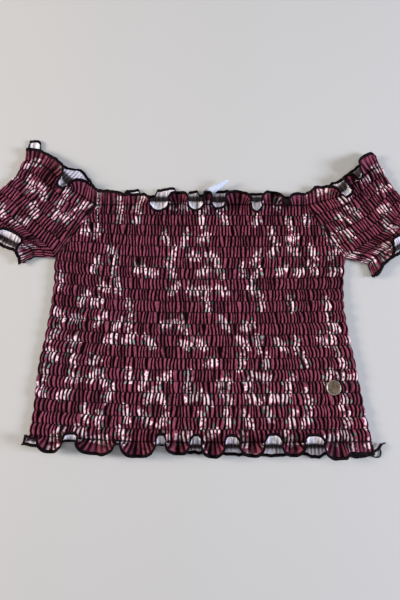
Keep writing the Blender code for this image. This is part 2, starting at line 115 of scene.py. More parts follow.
def mix(tree, share, low, high):
    """Blends two colours. It is the one blend that all the materials use."""
    return add(tree, "Mix", {0: share, 6: low, 7: high}, data_type="RGBA").outputs[2]


def new_material(name, **sockets):
    """A material whose shader has its even values set, ready for its nodes."""
    material = bpy.data.materials.new(name)
    material.use_nodes = True
    shader = material.node_tree.nodes["Principled BSDF"]
    for socket, value in sockets.items():
        shader.inputs[socket.replace("_", " ")].default_value = value
    return material, material.node_tree, shader


# %% [markdown]
# ## Printed cotton
# The cloth is a fine cotton lawn, dyed burgundy and printed with small pink and white blossoms and
# grey-green leaves. The print is drawn in the flat cloth's own millimetres, so the gathers break it
# up as they do on the real one: only what lies on a crest is seen whole. A fold's depth is kept in
# the attribute "crest", and the colour is painted darker towards the bottoms of the folds, as shade.
# Streaks of painted shade along the pleats stand for fine creases and break up the plain ground.

# %% The print
BURGUNDY = "#93495F"
BURGUNDY_IN_SHADE = "#050001"
BLOSSOM_WHITE = "#FFE9EF"
BLOSSOM_PINK = "#F5ABC1"
BLOSSOM_HEART = "#A84A66"
LEAF_SAGE = "#66736E"
LEAF_GREY = "#98A39F"
SPRIG_CELL = (24.0, 16.0)
SPRIG_STRAY = 0.62
SPRIG_CHANCE = 0.64
LEAVES = (((8.0, 2.0), 3.2, 1.4, LEAF_SAGE), ((-2.4, 6.8), 1.4, 3.0, LEAF_GREY),
          ((-6.0, -4.6), 2.6, 1.2, LEAF_SAGE))
BLOSSOMS = (((0.0, 0.0), 4.7), ((7.2, -3.6), 3.5), ((-6.8, 2.2), 2.8))
LEAF_RIM = (1.1, 0.85)
PETALS = 5.0
PETAL_WAVE = 0.2
PETAL_BLUSH = (0.5, 1.0)
PETAL_HEART = (0.3, 0.16)
PETAL_RIM = (1.08, 0.92)
CREASE_SCALE = (900.0, 260.0, 0.0)
CREASE_DETAIL = 3.0
CREASE_RANGE = (0.48, 0.66)
CREASE_SHADE = 0.75


def printed_colour(tree, cloth):
    """The print: sprigs of three blossoms and two leaves, turned at random in their cells."""
    cells = vector_node(tree, "MULTIPLY", cloth, (*[1 / (size * MM) for size in SPRIG_CELL], 1.0))
    cell = add(tree, "TexVoronoi", {"Vector": cells, "Scale": 1.0, "Randomness": SPRIG_STRAY},
               voronoi_dimensions="2D")
    away = vector_node(tree, "SUBTRACT", cells, cell.outputs["Position"])
    flat = vector_node(tree, "MULTIPLY", away, (*SPRIG_CELL, 0.0))
    chance = add(tree, "SeparateColor", {0: cell.outputs["Color"]})
    turn = math_node(tree, "MULTIPLY", chance.outputs[0], 2 * math.pi)
    local = add(tree, "VectorRotate", {"Vector": flat, "Angle": turn}, rotation_type="Z_AXIS").outputs[0]
    # Painted shade: dark streaks along the pleats stand for the shade in fine creases.
    creases = vector_node(tree, "MULTIPLY", cloth, CREASE_SCALE)
    crease = add(tree, "TexNoise", {"Vector": creases, "Scale": 1.0, "Detail": CREASE_DETAIL})
    depth = ramp(tree, crease.outputs[0], *CREASE_RANGE, 0.0, CREASE_SHADE)
    shaded_ground = mix(tree, depth, linear(BURGUNDY), linear(BURGUNDY_IN_SHADE))
    colour = shaded_ground
    for centre, along, across, tint in LEAVES:
        at = vector_node(tree, "SUBTRACT", local, (*centre, 0.0))
        leaf = vector_node(tree, "MULTIPLY", at, (1 / along, 1 / across, 0.0))
        inside = ramp(tree, vector_node(tree, "LENGTH", leaf), *LEAF_RIM)
        colour = mix(tree, inside, colour, linear(tint))
    for centre, radius in BLOSSOMS:
        at = vector_node(tree, "SUBTRACT", local, (*centre, 0.0))
        parts = add(tree, "SeparateXYZ", {0: at})
        angle = math_node(tree, "ARCTAN2", parts.outputs[1], parts.outputs[0])
        wave = math_node(tree, "COSINE", math_node(tree, "MULTIPLY", angle, PETALS))
        rim = math_node(tree, "MULTIPLY_ADD", wave, PETAL_WAVE * radius, radius)
        share = math_node(tree, "DIVIDE", vector_node(tree, "LENGTH", at), rim)
        petal = mix(tree, ramp(tree, share, *PETAL_BLUSH), linear(BLOSSOM_WHITE), linear(BLOSSOM_PINK))
        petal = mix(tree, ramp(tree, share, *PETAL_HEART), petal, linear(BLOSSOM_HEART))
        colour = mix(tree, ramp(tree, share, *PETAL_RIM), colour, petal)
    shown = math_node(tree, "LESS_THAN", chance.outputs[1], SPRIG_CHANCE)
    return mix(tree, shown, shaded_ground, colour)


# %% [markdown]
# ## Both sides of the cotton
# The right side is the print over a fine weave, matt with almost no shine. The wrong side isn't
# printed: it is nearly white, and the dye clouds it a little with lavender. Its colour is painted
# darker towards the bottoms of the gathers, as shade. Deep inside a fold, where the attribute
# "hollow" is 1, almost no light gets in, and it is painted nearly black there, as shade.

# %% Cotton
THREAD_SPACING = 0.7
WEAVE_DEPTH = 0.0001
WRONG_WHITE = "#F1ECF4"
WRONG_LAVENDER = "#D2C8DC"
WRONG_IN_SHADE = "#24110F"
COTTON_FINISH = {"Roughness": 0.82, "Sheen_Weight": 0.03, "Sheen_Roughness": 0.4,
                 "Specular_IOR_Level": 0.05}
COTTON_WEAVE = 0.35
CLOUD_SCALE = 90.0
CLOUD_DETAIL = 2.0
CLOUD_RANGE = (0.4, 0.75)
PRINT_SHADE_SHARE = 0.97
PRINT_SHADE_CRESTS = (0.2, 0.66)
WRONG_SHADE_SHARE = 0.9
WRONG_SHADE_CRESTS = (0.0, 0.38)


def waves(spacing):
    """How far a sine turns in each metre, for one wave in every spacing of millimetres."""
    return 2 * math.pi / (spacing * MM)


def relief_bump(tree, height, strength, deep, shader):
    """Fine relief on a surface, which is too small to be modelled."""
    bump = add(tree, "Bump", {"Strength": strength, "Distance": deep, "Height": height})
    tree.links.new(bump.outputs[0], shader.inputs["Normal"])


def weave(tree, cloth, strength, shader):
    """The thread of the weave. Real lawn has three threads to a millimetre; it is drawn coarser to show."""
    turns = vector_node(tree, "MULTIPLY", cloth, (*[waves(THREAD_SPACING)] * 2, 0.0))
    parts = add(tree, "SeparateXYZ", {0: turns})
    warp = math_node(tree, "SINE", parts.outputs[0])
    weft = math_node(tree, "SINE", parts.outputs[1])
    relief_bump(tree, math_node(tree, "MULTIPLY", warp, weft), strength, WEAVE_DEPTH, shader)


def cotton(name, printed):
    """Printed cotton's right side, or its undyed wrong side, where the dye shows through faintly."""
    material, tree, shader = new_material(name, **COTTON_FINISH)
    cloth = add(tree, "UVMap", uv_map="cloth").outputs[0]
    crest = add(tree, "Attribute", attribute_name="crest").outputs["Fac"]
    if printed:
        plain = printed_colour(tree, cloth)
        # Painted shade: where the crest attribute is low, in the bottoms of the folds, the print is blended
        # to near black.
        deep = mix(tree, PRINT_SHADE_SHARE, plain, linear(BURGUNDY_IN_SHADE))
        colour = mix(tree, ramp(tree, crest, *PRINT_SHADE_CRESTS), deep, plain)
    else:
        cloud = add(tree, "TexNoise", {"Vector": cloth, "Scale": CLOUD_SCALE, "Detail": CLOUD_DETAIL})
        plain = mix(tree, ramp(tree, cloud.outputs[0], *CLOUD_RANGE), linear(WRONG_WHITE),
                    linear(WRONG_LAVENDER))
        # Painted shade: the wrong side is blended towards near black in the bottoms of the gathers, and
        # fully where "hollow" is 1.
        deep = mix(tree, WRONG_SHADE_SHARE, plain, linear(WRONG_IN_SHADE))
        depth = add(tree, "MapRange", {0: crest, 1: WRONG_SHADE_CRESTS[0], 2: WRONG_SHADE_CRESTS[1]},
                    interpolation_type="SMOOTHSTEP")
        hollow = add(tree, "Attribute", attribute_name="hollow").outputs["Fac"]
        colour = mix(tree, hollow, mix(tree, depth.outputs[0], deep, plain), linear(WRONG_IN_SHADE))
    tree.links.new(colour, shader.inputs["Base Color"])
    weave(tree, cloth, COTTON_WEAVE, shader)
    return material


cloth_print = cotton("printed_cotton_lawn", True)
cloth_wrong = cotton("cotton_wrong_side", False)
print("cotton:", cloth_print.name, "and", cloth_wrong.name)

# %% [markdown]
# ## Thread
# Overlock thread and shirring thread are spun polyester, nearly black. The overlock's stitches wrap
# the cut edge side by side, so the edge reads as a dark cord with fine ridges.

# %% Thread
THREAD_DARK = "#0E0308"
THREAD_FINISH = {"Roughness": 0.7, "Specular_IOR_Level": 0.08}
STITCH = 1.4
STITCH_DEPTH = 0.0003
OVERLOCK_RIDGES = 0.8


def thread(name, seen, ridges):
    """Spun polyester thread. ridges is the depth of the stitches' relief."""
    material, tree, shader = new_material(name, Base_Color=linear(seen), **THREAD_FINISH)
    parts = add(tree, "SeparateXYZ", {0: add(tree, "UVMap", uv_map="cloth").outputs[0]})
    turns = math_node(tree, "MULTIPLY", parts.outputs[0], waves(STITCH))
    relief_bump(tree, math_node(tree, "SINE", turns), ridges, STITCH_DEPTH, shader)
    return material


overlock_thread = thread("overlock_polyester", THREAD_DARK, OVERLOCK_RIDGES)
print("thread:", overlock_thread.name)

# %% [markdown]
# ## The cut and its lie
# These are the sizes of the garment as it lies, in millimetres: the elastic rows, the seams and, for
# each edge, how each fold of its ruffle turns. A turn of 0 lies flat, and one of 160 folds back over
# the cloth and shows its wrong side. The places along a body edge are x, and along a sleeve edge they
# run from 0 at the front seam over 1 at the outer fold to 2 at the back seam.

# %% Sizes
ROW_SPACING = 10.0
ROW_COUNT = 22
FIRST_ROW_Y = -105.0
FRONT_BASE = 2.7
BACK_BASE = 2.4
RISE_AT = 120.0
ARMPIT_Y = 55.0
NECK_END_Y = 104.0
NECK_END = {"left": -94.7, "right": 97.2}
EDGE_BUMP = 1.1
SEAM_INSET = 0.2
BADGE_AT = (114.4, -59.9)
BADGE_RADIUS = 6.25
BADGE_THICK = 1.6
BADGE_SEAT = 2.0


def table(columns, *rows):
    """Named columns from a short table, one row for each section."""
    return dict(zip(columns.split(), np.array(rows, float).T))


def folds(*rows):
    """A ruffle's folds. A row holds a place along the edge, a turn in degrees, a length and how far
    the edge is spread sideways. A row of three isn't spread, and a row of two isn't turned either."""
    full = [(row[0], 0, row[1], 0) if len(row) == 2 else (*row, 0)[:4] for row in rows]
    return table("place turn length spread", *full)


ROW_RISE = table(
    "y left right",
    (-105, 4.2, 0.4), (-40, 5.2, 0.8), (50, 6.5, 2.0), (80, 5.0, 0.5), (105, 0.6, -3.5),
)
SIDE_SEAM = table(
    "y left right",
    (-105, -145.2, 145.4), (-79, -142.0, 140.3), (-54, -140.9, 136.6), (-36, -139.3, 134.0),
    (-19, -135.8, 130.8), (8, -132.0, 127.0), (32, -129.8, 127.4), (55, -130.6, 130.4),
)
FRONT_HEM = folds(
    (-145, 20, 8, -4), (-143.5, 101, 8.5, -2), (-137, 101, 8.5), (-134.5, 20, 10.5), (-124, 8, 12.5),
    (-117, 15, 11, 1), (-112.5, 152, 9), (-104, 152, 9), (-99, 18, 11, -1), (-91, 4, 12), (-77, 4, 12),
    (-72.5, 20, 10, 1), (-70, 120, 9), (-67, 120, 9), (-64, 15, 11, -1), (-57, 4, 12.5), (-43, 4, 12.5),
    (-39, 18, 11, 1), (-36, 155, 13.5), (-29, 155, 13.5), (-26, 15, 9.5, -1), (-18, 5, 10),
    (-11, 12, 10, 1), (-8, 155, 13.5), (0, 155, 13.5), (4, 12, 10.5, -1), (11, 4, 12), (18, 12, 11.5, 1),
    (22, 154, 12), (32, 154, 12), (36, 15, 10.5, -1), (44, 4, 11.5), (51, 14, 11.5, 1), (55, 156, 13.5),
    (68, 156, 13.5), (71, 14, 10.5, -1), (77, 4, 11.5), (84, 14, 11.5, 1), (88, 154, 12.5),
    (103, 154, 12.5), (106, 20, 12, -1), (110, 30, 14.5, -2), (119, 34, 14.5, 2), (123, 30, 12, 1),
    (127, 10, 10), (138, 6, 10, 1), (145, 0, 9.5, 2),
)
FRONT_NECK = folds(
    (-94.7, 14.5), (-86, 6, 14), (-77, 8, 12), (-69, 10, 10, 1), (-64, 30, 6), (-60, 20, 8), (-54, 6, 11),
    (-48, 20, 10.5, 1), (-44, 162, 15), (-29, 162, 15), (-25.5, 20, 11, -1), (-19, 6, 11.5),
    (-13, 20, 11, 1), (-9.5, 160, 15), (2, 160, 15), (5, 18, 11, -1), (8, 20, 11, 1), (12, 155, 10.5),
    (22.5, 155, 10.5), (26, 22, 14, -1), (33, 8, 12.5), (43, 20, 8, 1), (47, 162, 16.5), (55, 162, 16.5),
    (58.5, 18, 12, -1), (65, 6, 12), (72, 18, 10, 1), (75.5, 115, 7), (80.5, 115, 7), (85, 15, 10, -1),
    (91, 6, 11.5), (97.2, 11.5),
)
BACK_HEM = folds(
    (-145, 0, 8, -5), (-138, 0, 9.5, -1), (-121, 9), (-115, 3), (-104, 2.5), (-101, 6.5), (-97, 8),
    (-76, 8), (-72, 3), (-65, 3), (-61, 8), (-42, 8), (-38, 2.5), (-28, 2.5), (-24, 8), (-14, 8), (-10, 9),
    (0, 9), (27, 10.5), (62, 11.5), (85, 10), (99, 13), (112, 8), (135, 13), (145, 0, 11, 2),
)
BACK_NECK = folds(
    (-94.7, 16.5), (-86, 14.5), (-72, 9), (-68, 14), (-57, 15), (-53, 9), (-42, 9.5), (-39, 15), (-24, 17),
    (-20, 8.5), (-12.5, 8.5), (-9.5, 13), (-3, 13.5), (0, 9.5), (6, 10), (11, 13.5), (28, 14), (34, 8),
    (46, 11), (58, 12), (66, 9), (80, 9), (97.2, 11.5),
)
LEFT_SLEEVE = {
    "underarm": (-0.88, -0.47),
    "neck": table("x y", (-94.7, 104.0), (-105.7, 111.0), (-119.9, 120.5), (-131.5, 130.8),
                  (-144.2, 141.6), (-153.7, 146.6), (-164.0, 148.0)),
    "cuff": table("x y", (-149.4, 55.6), (-150.6, 61.2), (-155.4, 65.8), (-166.6, 70.5),
                  (-178.8, 77.0), (-189.3, 84.6), (-201.0, 94.1)),
    "fold": table("x y", (-164.0, 148.0), (-167.8, 141.1), (-172.8, 132.2), (-180.5, 123.4),
                  (-190.0, 112.2), (-196.2, 104.0), (-201.0, 94.1)),
    "neck_ruffle": folds(
        (0.0, 15), (0.12, 8, 14.5), (0.28, 12, 12.5), (0.33, 25, 10), (0.38, 158, 11), (0.46, 158, 11),
        (0.51, 22, 10), (0.64, 10, 12.5), (0.8, 10, 11), (0.9, 10, 9.5), (0.96, 20, 6), (0.995, 10, 8),
        (1.03, 21), (1.10, 22), (1.15, 9), (1.3, 10), (1.42, 13), (1.58, 20), (1.8, 17), (2.0, 16.5),
    ),
    "cuff_ruffle": folds(
        (0.0, 14), (0.08, 10, 14), (0.2, 24, 11), (0.27, 155, 11), (0.58, 155, 11), (0.66, 20, 11),
        (0.82, 8, 11), (1.0, 10), (1.25, 9), (1.55, 9), (1.8, 6), (2.0, 11),
    ),
}
RIGHT_SLEEVE = {
    "underarm": (0.3, -0.95),
    "neck": table("x y", (97.2, 104.0), (108.0, 107.0), (120.0, 110.0), (131.0, 114.8),
                  (140.4, 123.0), (150.1, 131.5), (160.0, 138.6), (168.8, 142.5)),
    "cuff": table("x y", (150.8, 49.1), (156.8, 54.7), (164.0, 60.5), (172.4, 64.9), (181.6, 70.0),
                  (191.3, 79.2), (200.7, 91.4)),
    "fold": table("x y", (168.8, 142.5), (172.8, 132.2), (178.6, 122.5), (184.5, 113.9),
                  (190.2, 106.6), (196.0, 100.2), (200.7, 91.4)),
    "neck_ruffle": folds(
        (0.0, 12), (0.12, 8, 14.5), (0.28, 10, 12), (0.35, 25, 8), (0.41, 150, 11), (0.50, 150, 11),
        (0.54, 24, 11.5), (0.61, 15, 11.5), (0.65, 120, 8), (0.7, 120, 8), (0.74, 18, 12.5), (0.84, 8, 15),
        (0.94, 8, 14.5), (1.0, 8, 10), (1.08, 9), (1.3, 8), (1.45, 11.5), (1.58, 14.5), (1.74, 12),
        (2.0, 12),
    ),
    "cuff_ruffle": folds(
        (0.0, 12.5), (0.1, 8, 12), (0.18, 8, 9.5), (0.3, 8, 10), (0.36, 24, 10), (0.42, 155, 11),
        (0.62, 155, 11), (0.7, 20, 11), (0.84, 8, 11), (1.0, 10), (1.3, 8), (1.55, 6), (1.75, 9),
        (1.9, 14), (2.0, 12),
    ),
}
hem_wide = SIDE_SEAM["right"][0] - SIDE_SEAM["left"][0]
print("rows:", ROW_COUNT, "every", ROW_SPACING, "mm, hem:", round(hem_wide, 1), "mm wide")

# %% [markdown]
# ## Shirring
# Shirring elastic pulls the cloth into rows of small pleats. Between two rows the pleats puff up, and
# at each row they are sewn down. No pleat runs on quite in line with the one above it. So each band
# between two rows gets its own random pleats, which lean and swell a little, and which are pressed
# down to nothing at the rows.

# %% Pleats
PLEAT_PITCH = 3.3
COLUMNS_PER_PLEAT = 6
BAND_STEPS = (0.0, 0.05, 0.14, 0.36, 0.64, 0.86, 0.95)
ROW_HEIGHT = 1.25
ROW_GATHER = 0.7
VALLEY_HEIGHT = 0.45
PUFF_HEIGHT = 2.7
FULLNESS = 1.4
SLEEVE_FULLNESS = 1.25
PLEAT_SHARP = 1.5
BAND_BOX = 0.35
SPREAD_STEPS = 12
TOP_WANDER = (2.0, 0.4)
LEAN_WANDER = (1.5, 0.42)
BOW_WANDER = (1.3, 0.16)
TALL_WANDER = (0.9, 0.34)
TALL_MIDDLE = 0.76
SLIDE = (0.4, 0.1)
# Painted shade at the elastic rows: the crest attribute there is kept low.
PANEL_ROW_SHADE = (0.14, 0.4)
SEEDS = {"front_panel": 7, "back_panel": 8, "sleeve_left": 12, "sleeve_right": 13,
         "front_hem_ruffle": 21, "front_neck_ruffle": 22, "back_hem_ruffle": 23, "back_neck_ruffle": 24}
SWAY_SEED = 100
RUFFLE_SEED = 30


def smooth(t):
    """An ease from 0 to 1 with level ends."""
    t = np.clip(t, 0.0, 1.0)
    return t * t * (3.0 - 2.0 * t)


def eased(at, places, values):
    """Values between the table's rows, eased so that a fold has no corners."""
    at = np.clip(np.asarray(at, float), places[0], places[-1])
    i = np.clip(np.searchsorted(places, at, side="right") - 1, 0, len(places) - 2)
    t = smooth((at - places[i]) / (places[i + 1] - places[i]))
    return values[i] + t * (values[i + 1] - values[i])


def wander(places, step, size, random):
    """Smooth random values at places along a line, with a new value at every step."""
    start = np.min(places)
    knots = random.uniform(-size, size, int(np.ptp(places) / step) + 3)
    return eased((places - start) / step, np.arange(len(knots)), knots)


def shirring(bands, even, seed):
    """Random pleats. even holds each point's place along its row, counted in pleats. For each line of
    points it gives how far it is puffed up, each point's crest from 0 to 1, and how far it slides
    sideways, in pleats."""
    random = np.random.default_rng(seed)
    puff, crest, slide = [], [], []
    spread = np.linspace(even.min(), even.max(), SPREAD_STEPS * int(np.ptp(even)))
    for band in range(bands):
        shift = random.uniform()
        top = wander(spread, *TOP_WANDER, random)
        lean = wander(spread, *LEAN_WANDER, random)
        bow = wander(spread, *BOW_WANDER, random)
        tall = TALL_MIDDLE + wander(spread, *TALL_WANDER, random)
        for step, v in enumerate((*BAND_STEPS, 1.0)):
            place = even[band * len(BAND_STEPS) + step]
            move = top + lean * smooth(v) + bow * math.sin(math.pi * v)
            phase = place + shift + np.interp(place, spread, move)
            height = np.interp(place, spread, tall)
            rise = (0.5 - 0.5 * np.cos(2 * math.pi * phase)) ** PLEAT_SHARP * height
            up = max(math.sin(math.pi * v), 0.0) ** BAND_BOX
            move = SLIDE[0] * np.sin(4 * math.pi * phase) / (4 * math.pi)
            move = move - SLIDE[1] * np.sin(2 * math.pi * phase) / (2 * math.pi)
            if v == 0.0 and crest:
                crest[-1] = (crest[-1] + rise) / 2
                continue
            puff.append(up)
            crest.append(rise)
            slide.append(move * up)
    return np.array(puff), np.array(crest), np.array(slide)


def relief(puff, crest):
    """Height of the cloth's outer face over its base, in millimetres, and the crest attribute, which paints
    shade: low in the valleys and lower still at the rows.
    """
    p = puff[:, None]
    at_row = ROW_HEIGHT + ROW_GATHER * (crest - 0.5)
    between = VALLEY_HEIGHT + PUFF_HEIGHT * crest
    height = (1 - p) * at_row + p * between
    return height, np.clip(p * crest + (1 - p) * (PANEL_ROW_SHADE[0] + PANEL_ROW_SHADE[1] * crest), 0, 1)


# %% [markdown]
# ## Sheets of cloth
# A sheet starts as a grid primitive with one square for each small step of the cloth. Its vertices
# are then laid where the cloth lies. Its UV map holds the flat cloth's own metres, so the print
# follows every fold. A thin sheet gets its thickness from Solidify, with the wrong side's material on
# its inner faces.

# %% Sheet helpers
SHEET_THICK = 0.5
SMALL = 1e-6


def unit(vectors, least=SMALL):
    """Vectors made 1 long, apart from any that are nearly nothing."""
    return vectors / np.maximum(np.linalg.norm(vectors, axis=-1), least)[..., None]


def run_along(line):
    """How far each point lies along a line, from 0 at its first point."""
    return np.concatenate([[0], np.cumsum(np.linalg.norm(np.diff(line, axis=0), axis=1))])


def in_edit(select, *steps):
    """Goes to edit mode on the active object, selects, and runs the steps there."""
    bpy.ops.object.mode_set(mode="EDIT")
    bpy.ops.mesh.select_mode(type="EDGE")
    bpy.ops.mesh.select_all(action="SELECT" if select == "all" else "DESELECT")
    if select == "rim":
        bpy.ops.mesh.select_non_manifold()
    for step in steps:
        step()
    bpy.ops.object.mode_set(mode="OBJECT")


def flat_places(across, up):
    """Each point's place on the flat cloth. across has one value for each column, or one for each
    point, and up has one for each row."""
    return np.stack(np.broadcast_arrays(across, np.asarray(up)[:, None]), axis=-1)


def lay_sheet(name, points, cloth, crest, wanted, hollow=None):
    """A grid of cloth. points are in millimetres, cloth holds each point's flat place, and wanted is
    the way that the right side faces at the grid's middle point. hollow is 1 deep inside a fold."""
    rows, columns = points.shape[:2]
    deselect()
    bpy.ops.mesh.primitive_grid_add(x_subdivisions=columns - 1, y_subdivisions=rows - 1, size=1)
    sheet = bpy.context.active_object
    sheet.name = name
    mesh = sheet.data
    mesh.vertices.foreach_set("co", (points.reshape(-1, 3) * MM).ravel())
    mesh.uv_layers[0].name = "cloth"
    corner = np.empty(len(mesh.loops), int)
    mesh.loops.foreach_get("vertex_index", corner)
    mesh.uv_layers["cloth"].data.foreach_set("uv", (cloth.reshape(-1, 2)[corner] * MM).ravel())
    shade = mesh.attributes.new("crest", "FLOAT", "POINT")
    shade.data.foreach_set("value", crest.ravel())
    if hollow is not None:
        mesh.attributes.new("hollow", "FLOAT", "POINT").data.foreach_set("value", hollow.ravel())
    mesh.update()
    middle = (rows // 2) * (columns - 1) + columns // 2
    if mesh.polygons[middle].normal.dot(wanted) < 0:
        mesh.flip_normals()
    return sheet


def thicken(sheet, thick=SHEET_THICK):
    """Gives a sheet its thickness on the inside, and the wrong side's material there."""
    sheet.data.materials.append(cloth_print)
    sheet.data.materials.append(cloth_wrong)
    wall = sheet.modifiers.new("cloth", "SOLIDIFY")
    wall.thickness = thick * MM
    wall.offset = -1
    wall.material_offset = 1
    wall.use_quality_normals = True
    bpy.ops.object.modifier_apply(modifier=wall.name)
    bpy.ops.object.shade_smooth()
    return sheet


def close_solid():
    """Closes the active object's open ends and faces it outwards all over."""
    in_edit("rim", lambda: bpy.ops.mesh.edge_face_add())
    in_edit("all", lambda: bpy.ops.mesh.normals_make_consistent(inside=False))
    bpy.ops.object.shade_smooth()


def finish_piece(piece, slot, *nodes):
    """Every piece of the top rides on its one body, and the solids that it stands for are hidden."""
    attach(piece, "root")
    if nodes:
        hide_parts(*nodes)
    print(piece.name, "triangles:", sum(len(face.vertices) - 2 for face in piece.data.polygons))


def joined(name, pieces, slot, *nodes):
    """Joins small pieces of one kind into one."""
    deselect()
    for piece in pieces:
        piece.select_set(True)
    bpy.context.view_layer.objects.active = pieces[0]
    bpy.ops.object.join()
    pieces[0].name = name
    finish_piece(pieces[0], slot, *nodes)
    return pieces[0]


# %% [markdown]
# ## Tubes of thread
# All threads are closed tubes around a line, with a few flat sides, because a thread this thin shows
# no more. None of them may reach below the table.

# %% Thread tubes
THREAD_RADIUS = 0.36
THREAD_SIDES = 5
THREAD_LOWEST = 0.02
THREAD_WELD = 0.00001


def tube(name, middle, across, over, wide, thick, sides):
    """A closed tube of thread around a line. across and over are the two ways square to the line."""
    turns = np.linspace(0, 2 * np.pi, sides + 1)
    points = np.array([middle + wide * math.cos(a) * across + thick * math.sin(a) * over for a in turns])
    points[..., 2] = np.maximum(points[..., 2], THREAD_LOWEST)
    cloth = flat_places(run_along(middle), turns * wide)
    made = lay_sheet(name, points, cloth, np.ones(points.shape[:2]), (0, 0, 1))
    in_edit("all", lambda: bpy.ops.mesh.remove_doubles(threshold=THREAD_WELD))
    close_solid()
    return made


def thread_tube(name, points, radius, material):
    """A round tube of thread along a line in space."""
    points = np.array(points, float)
    along = unit(np.gradient(points, axis=0))
    side = unit(np.cross(along, (0.0, 0.0, 1.0)))
    made = tube(name, points, side, np.cross(side, along), radius, radius, THREAD_SIDES)
    made.data.materials.append(material)
    return made


# %% [markdown]
# ## The front and back panels
# Both panels follow the same plan: side seams that lean in, straight raglan seams above the armpits,
# and elastic rows that rise a little to the sides. The front's pleats stand up and the back's point
# down to the table, each over a flat base where the two lie on each other.

# %% Panel plan
THREAD_LIFT = 0.12
SAME_PLACE = 0.01
SETTLE_TURNS = 8
END_EASE = 6
EDGE_ROUND = 3.0
PANEL_EDGE = 0.12
SWAY = (14, 0.3)
DENT_RISE = 4.0
DENT_WIDE = 2.0
PANEL_WELD = 0.000002
row_threads = []


def row_thread(line, lift):
    """The shirring elastic's thread on top of one row."""
    step = np.linalg.norm(np.diff(line[:, :2], axis=0), axis=1)
    line = (line + THREAD_LIFT * lift)[np.append(True, step > SAME_PLACE)][1:-1:2]
    row_threads.append(thread_tube("row_thread", line, THREAD_RADIUS, overlock_thread))


def row_rise(x, y):
    """How much higher an elastic row lies at x than at the middle."""
    side = np.where(x < 0, np.interp(y, ROW_RISE["y"], ROW_RISE["left"]),
                    np.interp(y, ROW_RISE["y"], ROW_RISE["right"]))
    return side * (x / RISE_AT) ** 2


def body_edge(y, side):
    """The seam's x at a height y: the side seam up to the armpit, then the straight raglan seam."""
    seam = SIDE_SEAM[side]
    raglan = np.interp(y, [ARMPIT_Y, NECK_END_Y], [seam[-1], NECK_END[side]])
    return np.where(y < ARMPIT_Y, np.interp(y, SIDE_SEAM["y"], seam), raglan)


def edge_points(row_y, side):
    """Where each row meets the seam. A few turns settle the rise, which depends on x."""
    y = np.array(row_y, float)
    for _ in range(SETTLE_TURNS):
        y = row_y + row_rise(body_edge(y, side), row_y)
    y[-1] = NECK_END_Y
    return body_edge(y, side), y


def body_plan(row, columns):
    """Plan points of a body panel for the given row numbers, and each row's width as if it ran on
    past the raglan seams. The columns run straight up the cloth and end where they meet a seam."""
    row_y = FIRST_ROW_Y + ROW_SPACING * row
    share = np.linspace(0, 1, columns)
    bump = EDGE_BUMP * np.abs(np.sin(np.pi * row))
    ends = {}
    for side, inward in (("left", 1), ("right", -1)):
        x, y = edge_points(row_y, side)
        ends[side] = (x + inward * np.where(y > ARMPIT_Y, SEAM_INSET, -bump), y)
    wide = {side: np.where(y > ARMPIT_Y, SIDE_SEAM[side][-1], x) for side, (x, y) in ends.items()}
    x = wide["left"][:, None] * (1 - share) + wide["right"][:, None] * share
    x = np.clip(x, ends["left"][0][:, None], ends["right"][0][:, None])
    share = (x - x[:, :1]) / (x[:, -1:] - x[:, :1])
    y = row_y[:, None] + row_rise(x, row_y[:, None])
    y = y + (ends["left"][1] - y[:, 0])[:, None] * (1 - share) ** END_EASE
    y = y + (ends["right"][1] - y[:, -1])[:, None] * share ** END_EASE
    return np.stack([x, y], axis=-1), (wide["right"] - wide["left"])[:, None]


def band_rows(bands):
    """Row numbers of the lines of points."""
    return np.array([band + v for band in range(bands) for v in BAND_STEPS] + [bands], float)


def rounded_edge(plan):
    """1 over most of a sheet, falling in a round to 0 at its two side edges."""
    left = np.linalg.norm(plan - plan[:, :1], axis=-1)
    right = np.linalg.norm(plan - plan[:, -1:], axis=-1)
    near = np.clip(np.minimum(left, right) / EDGE_ROUND, 0, 1)
    return np.sqrt(1 - (1 - near) ** 2)


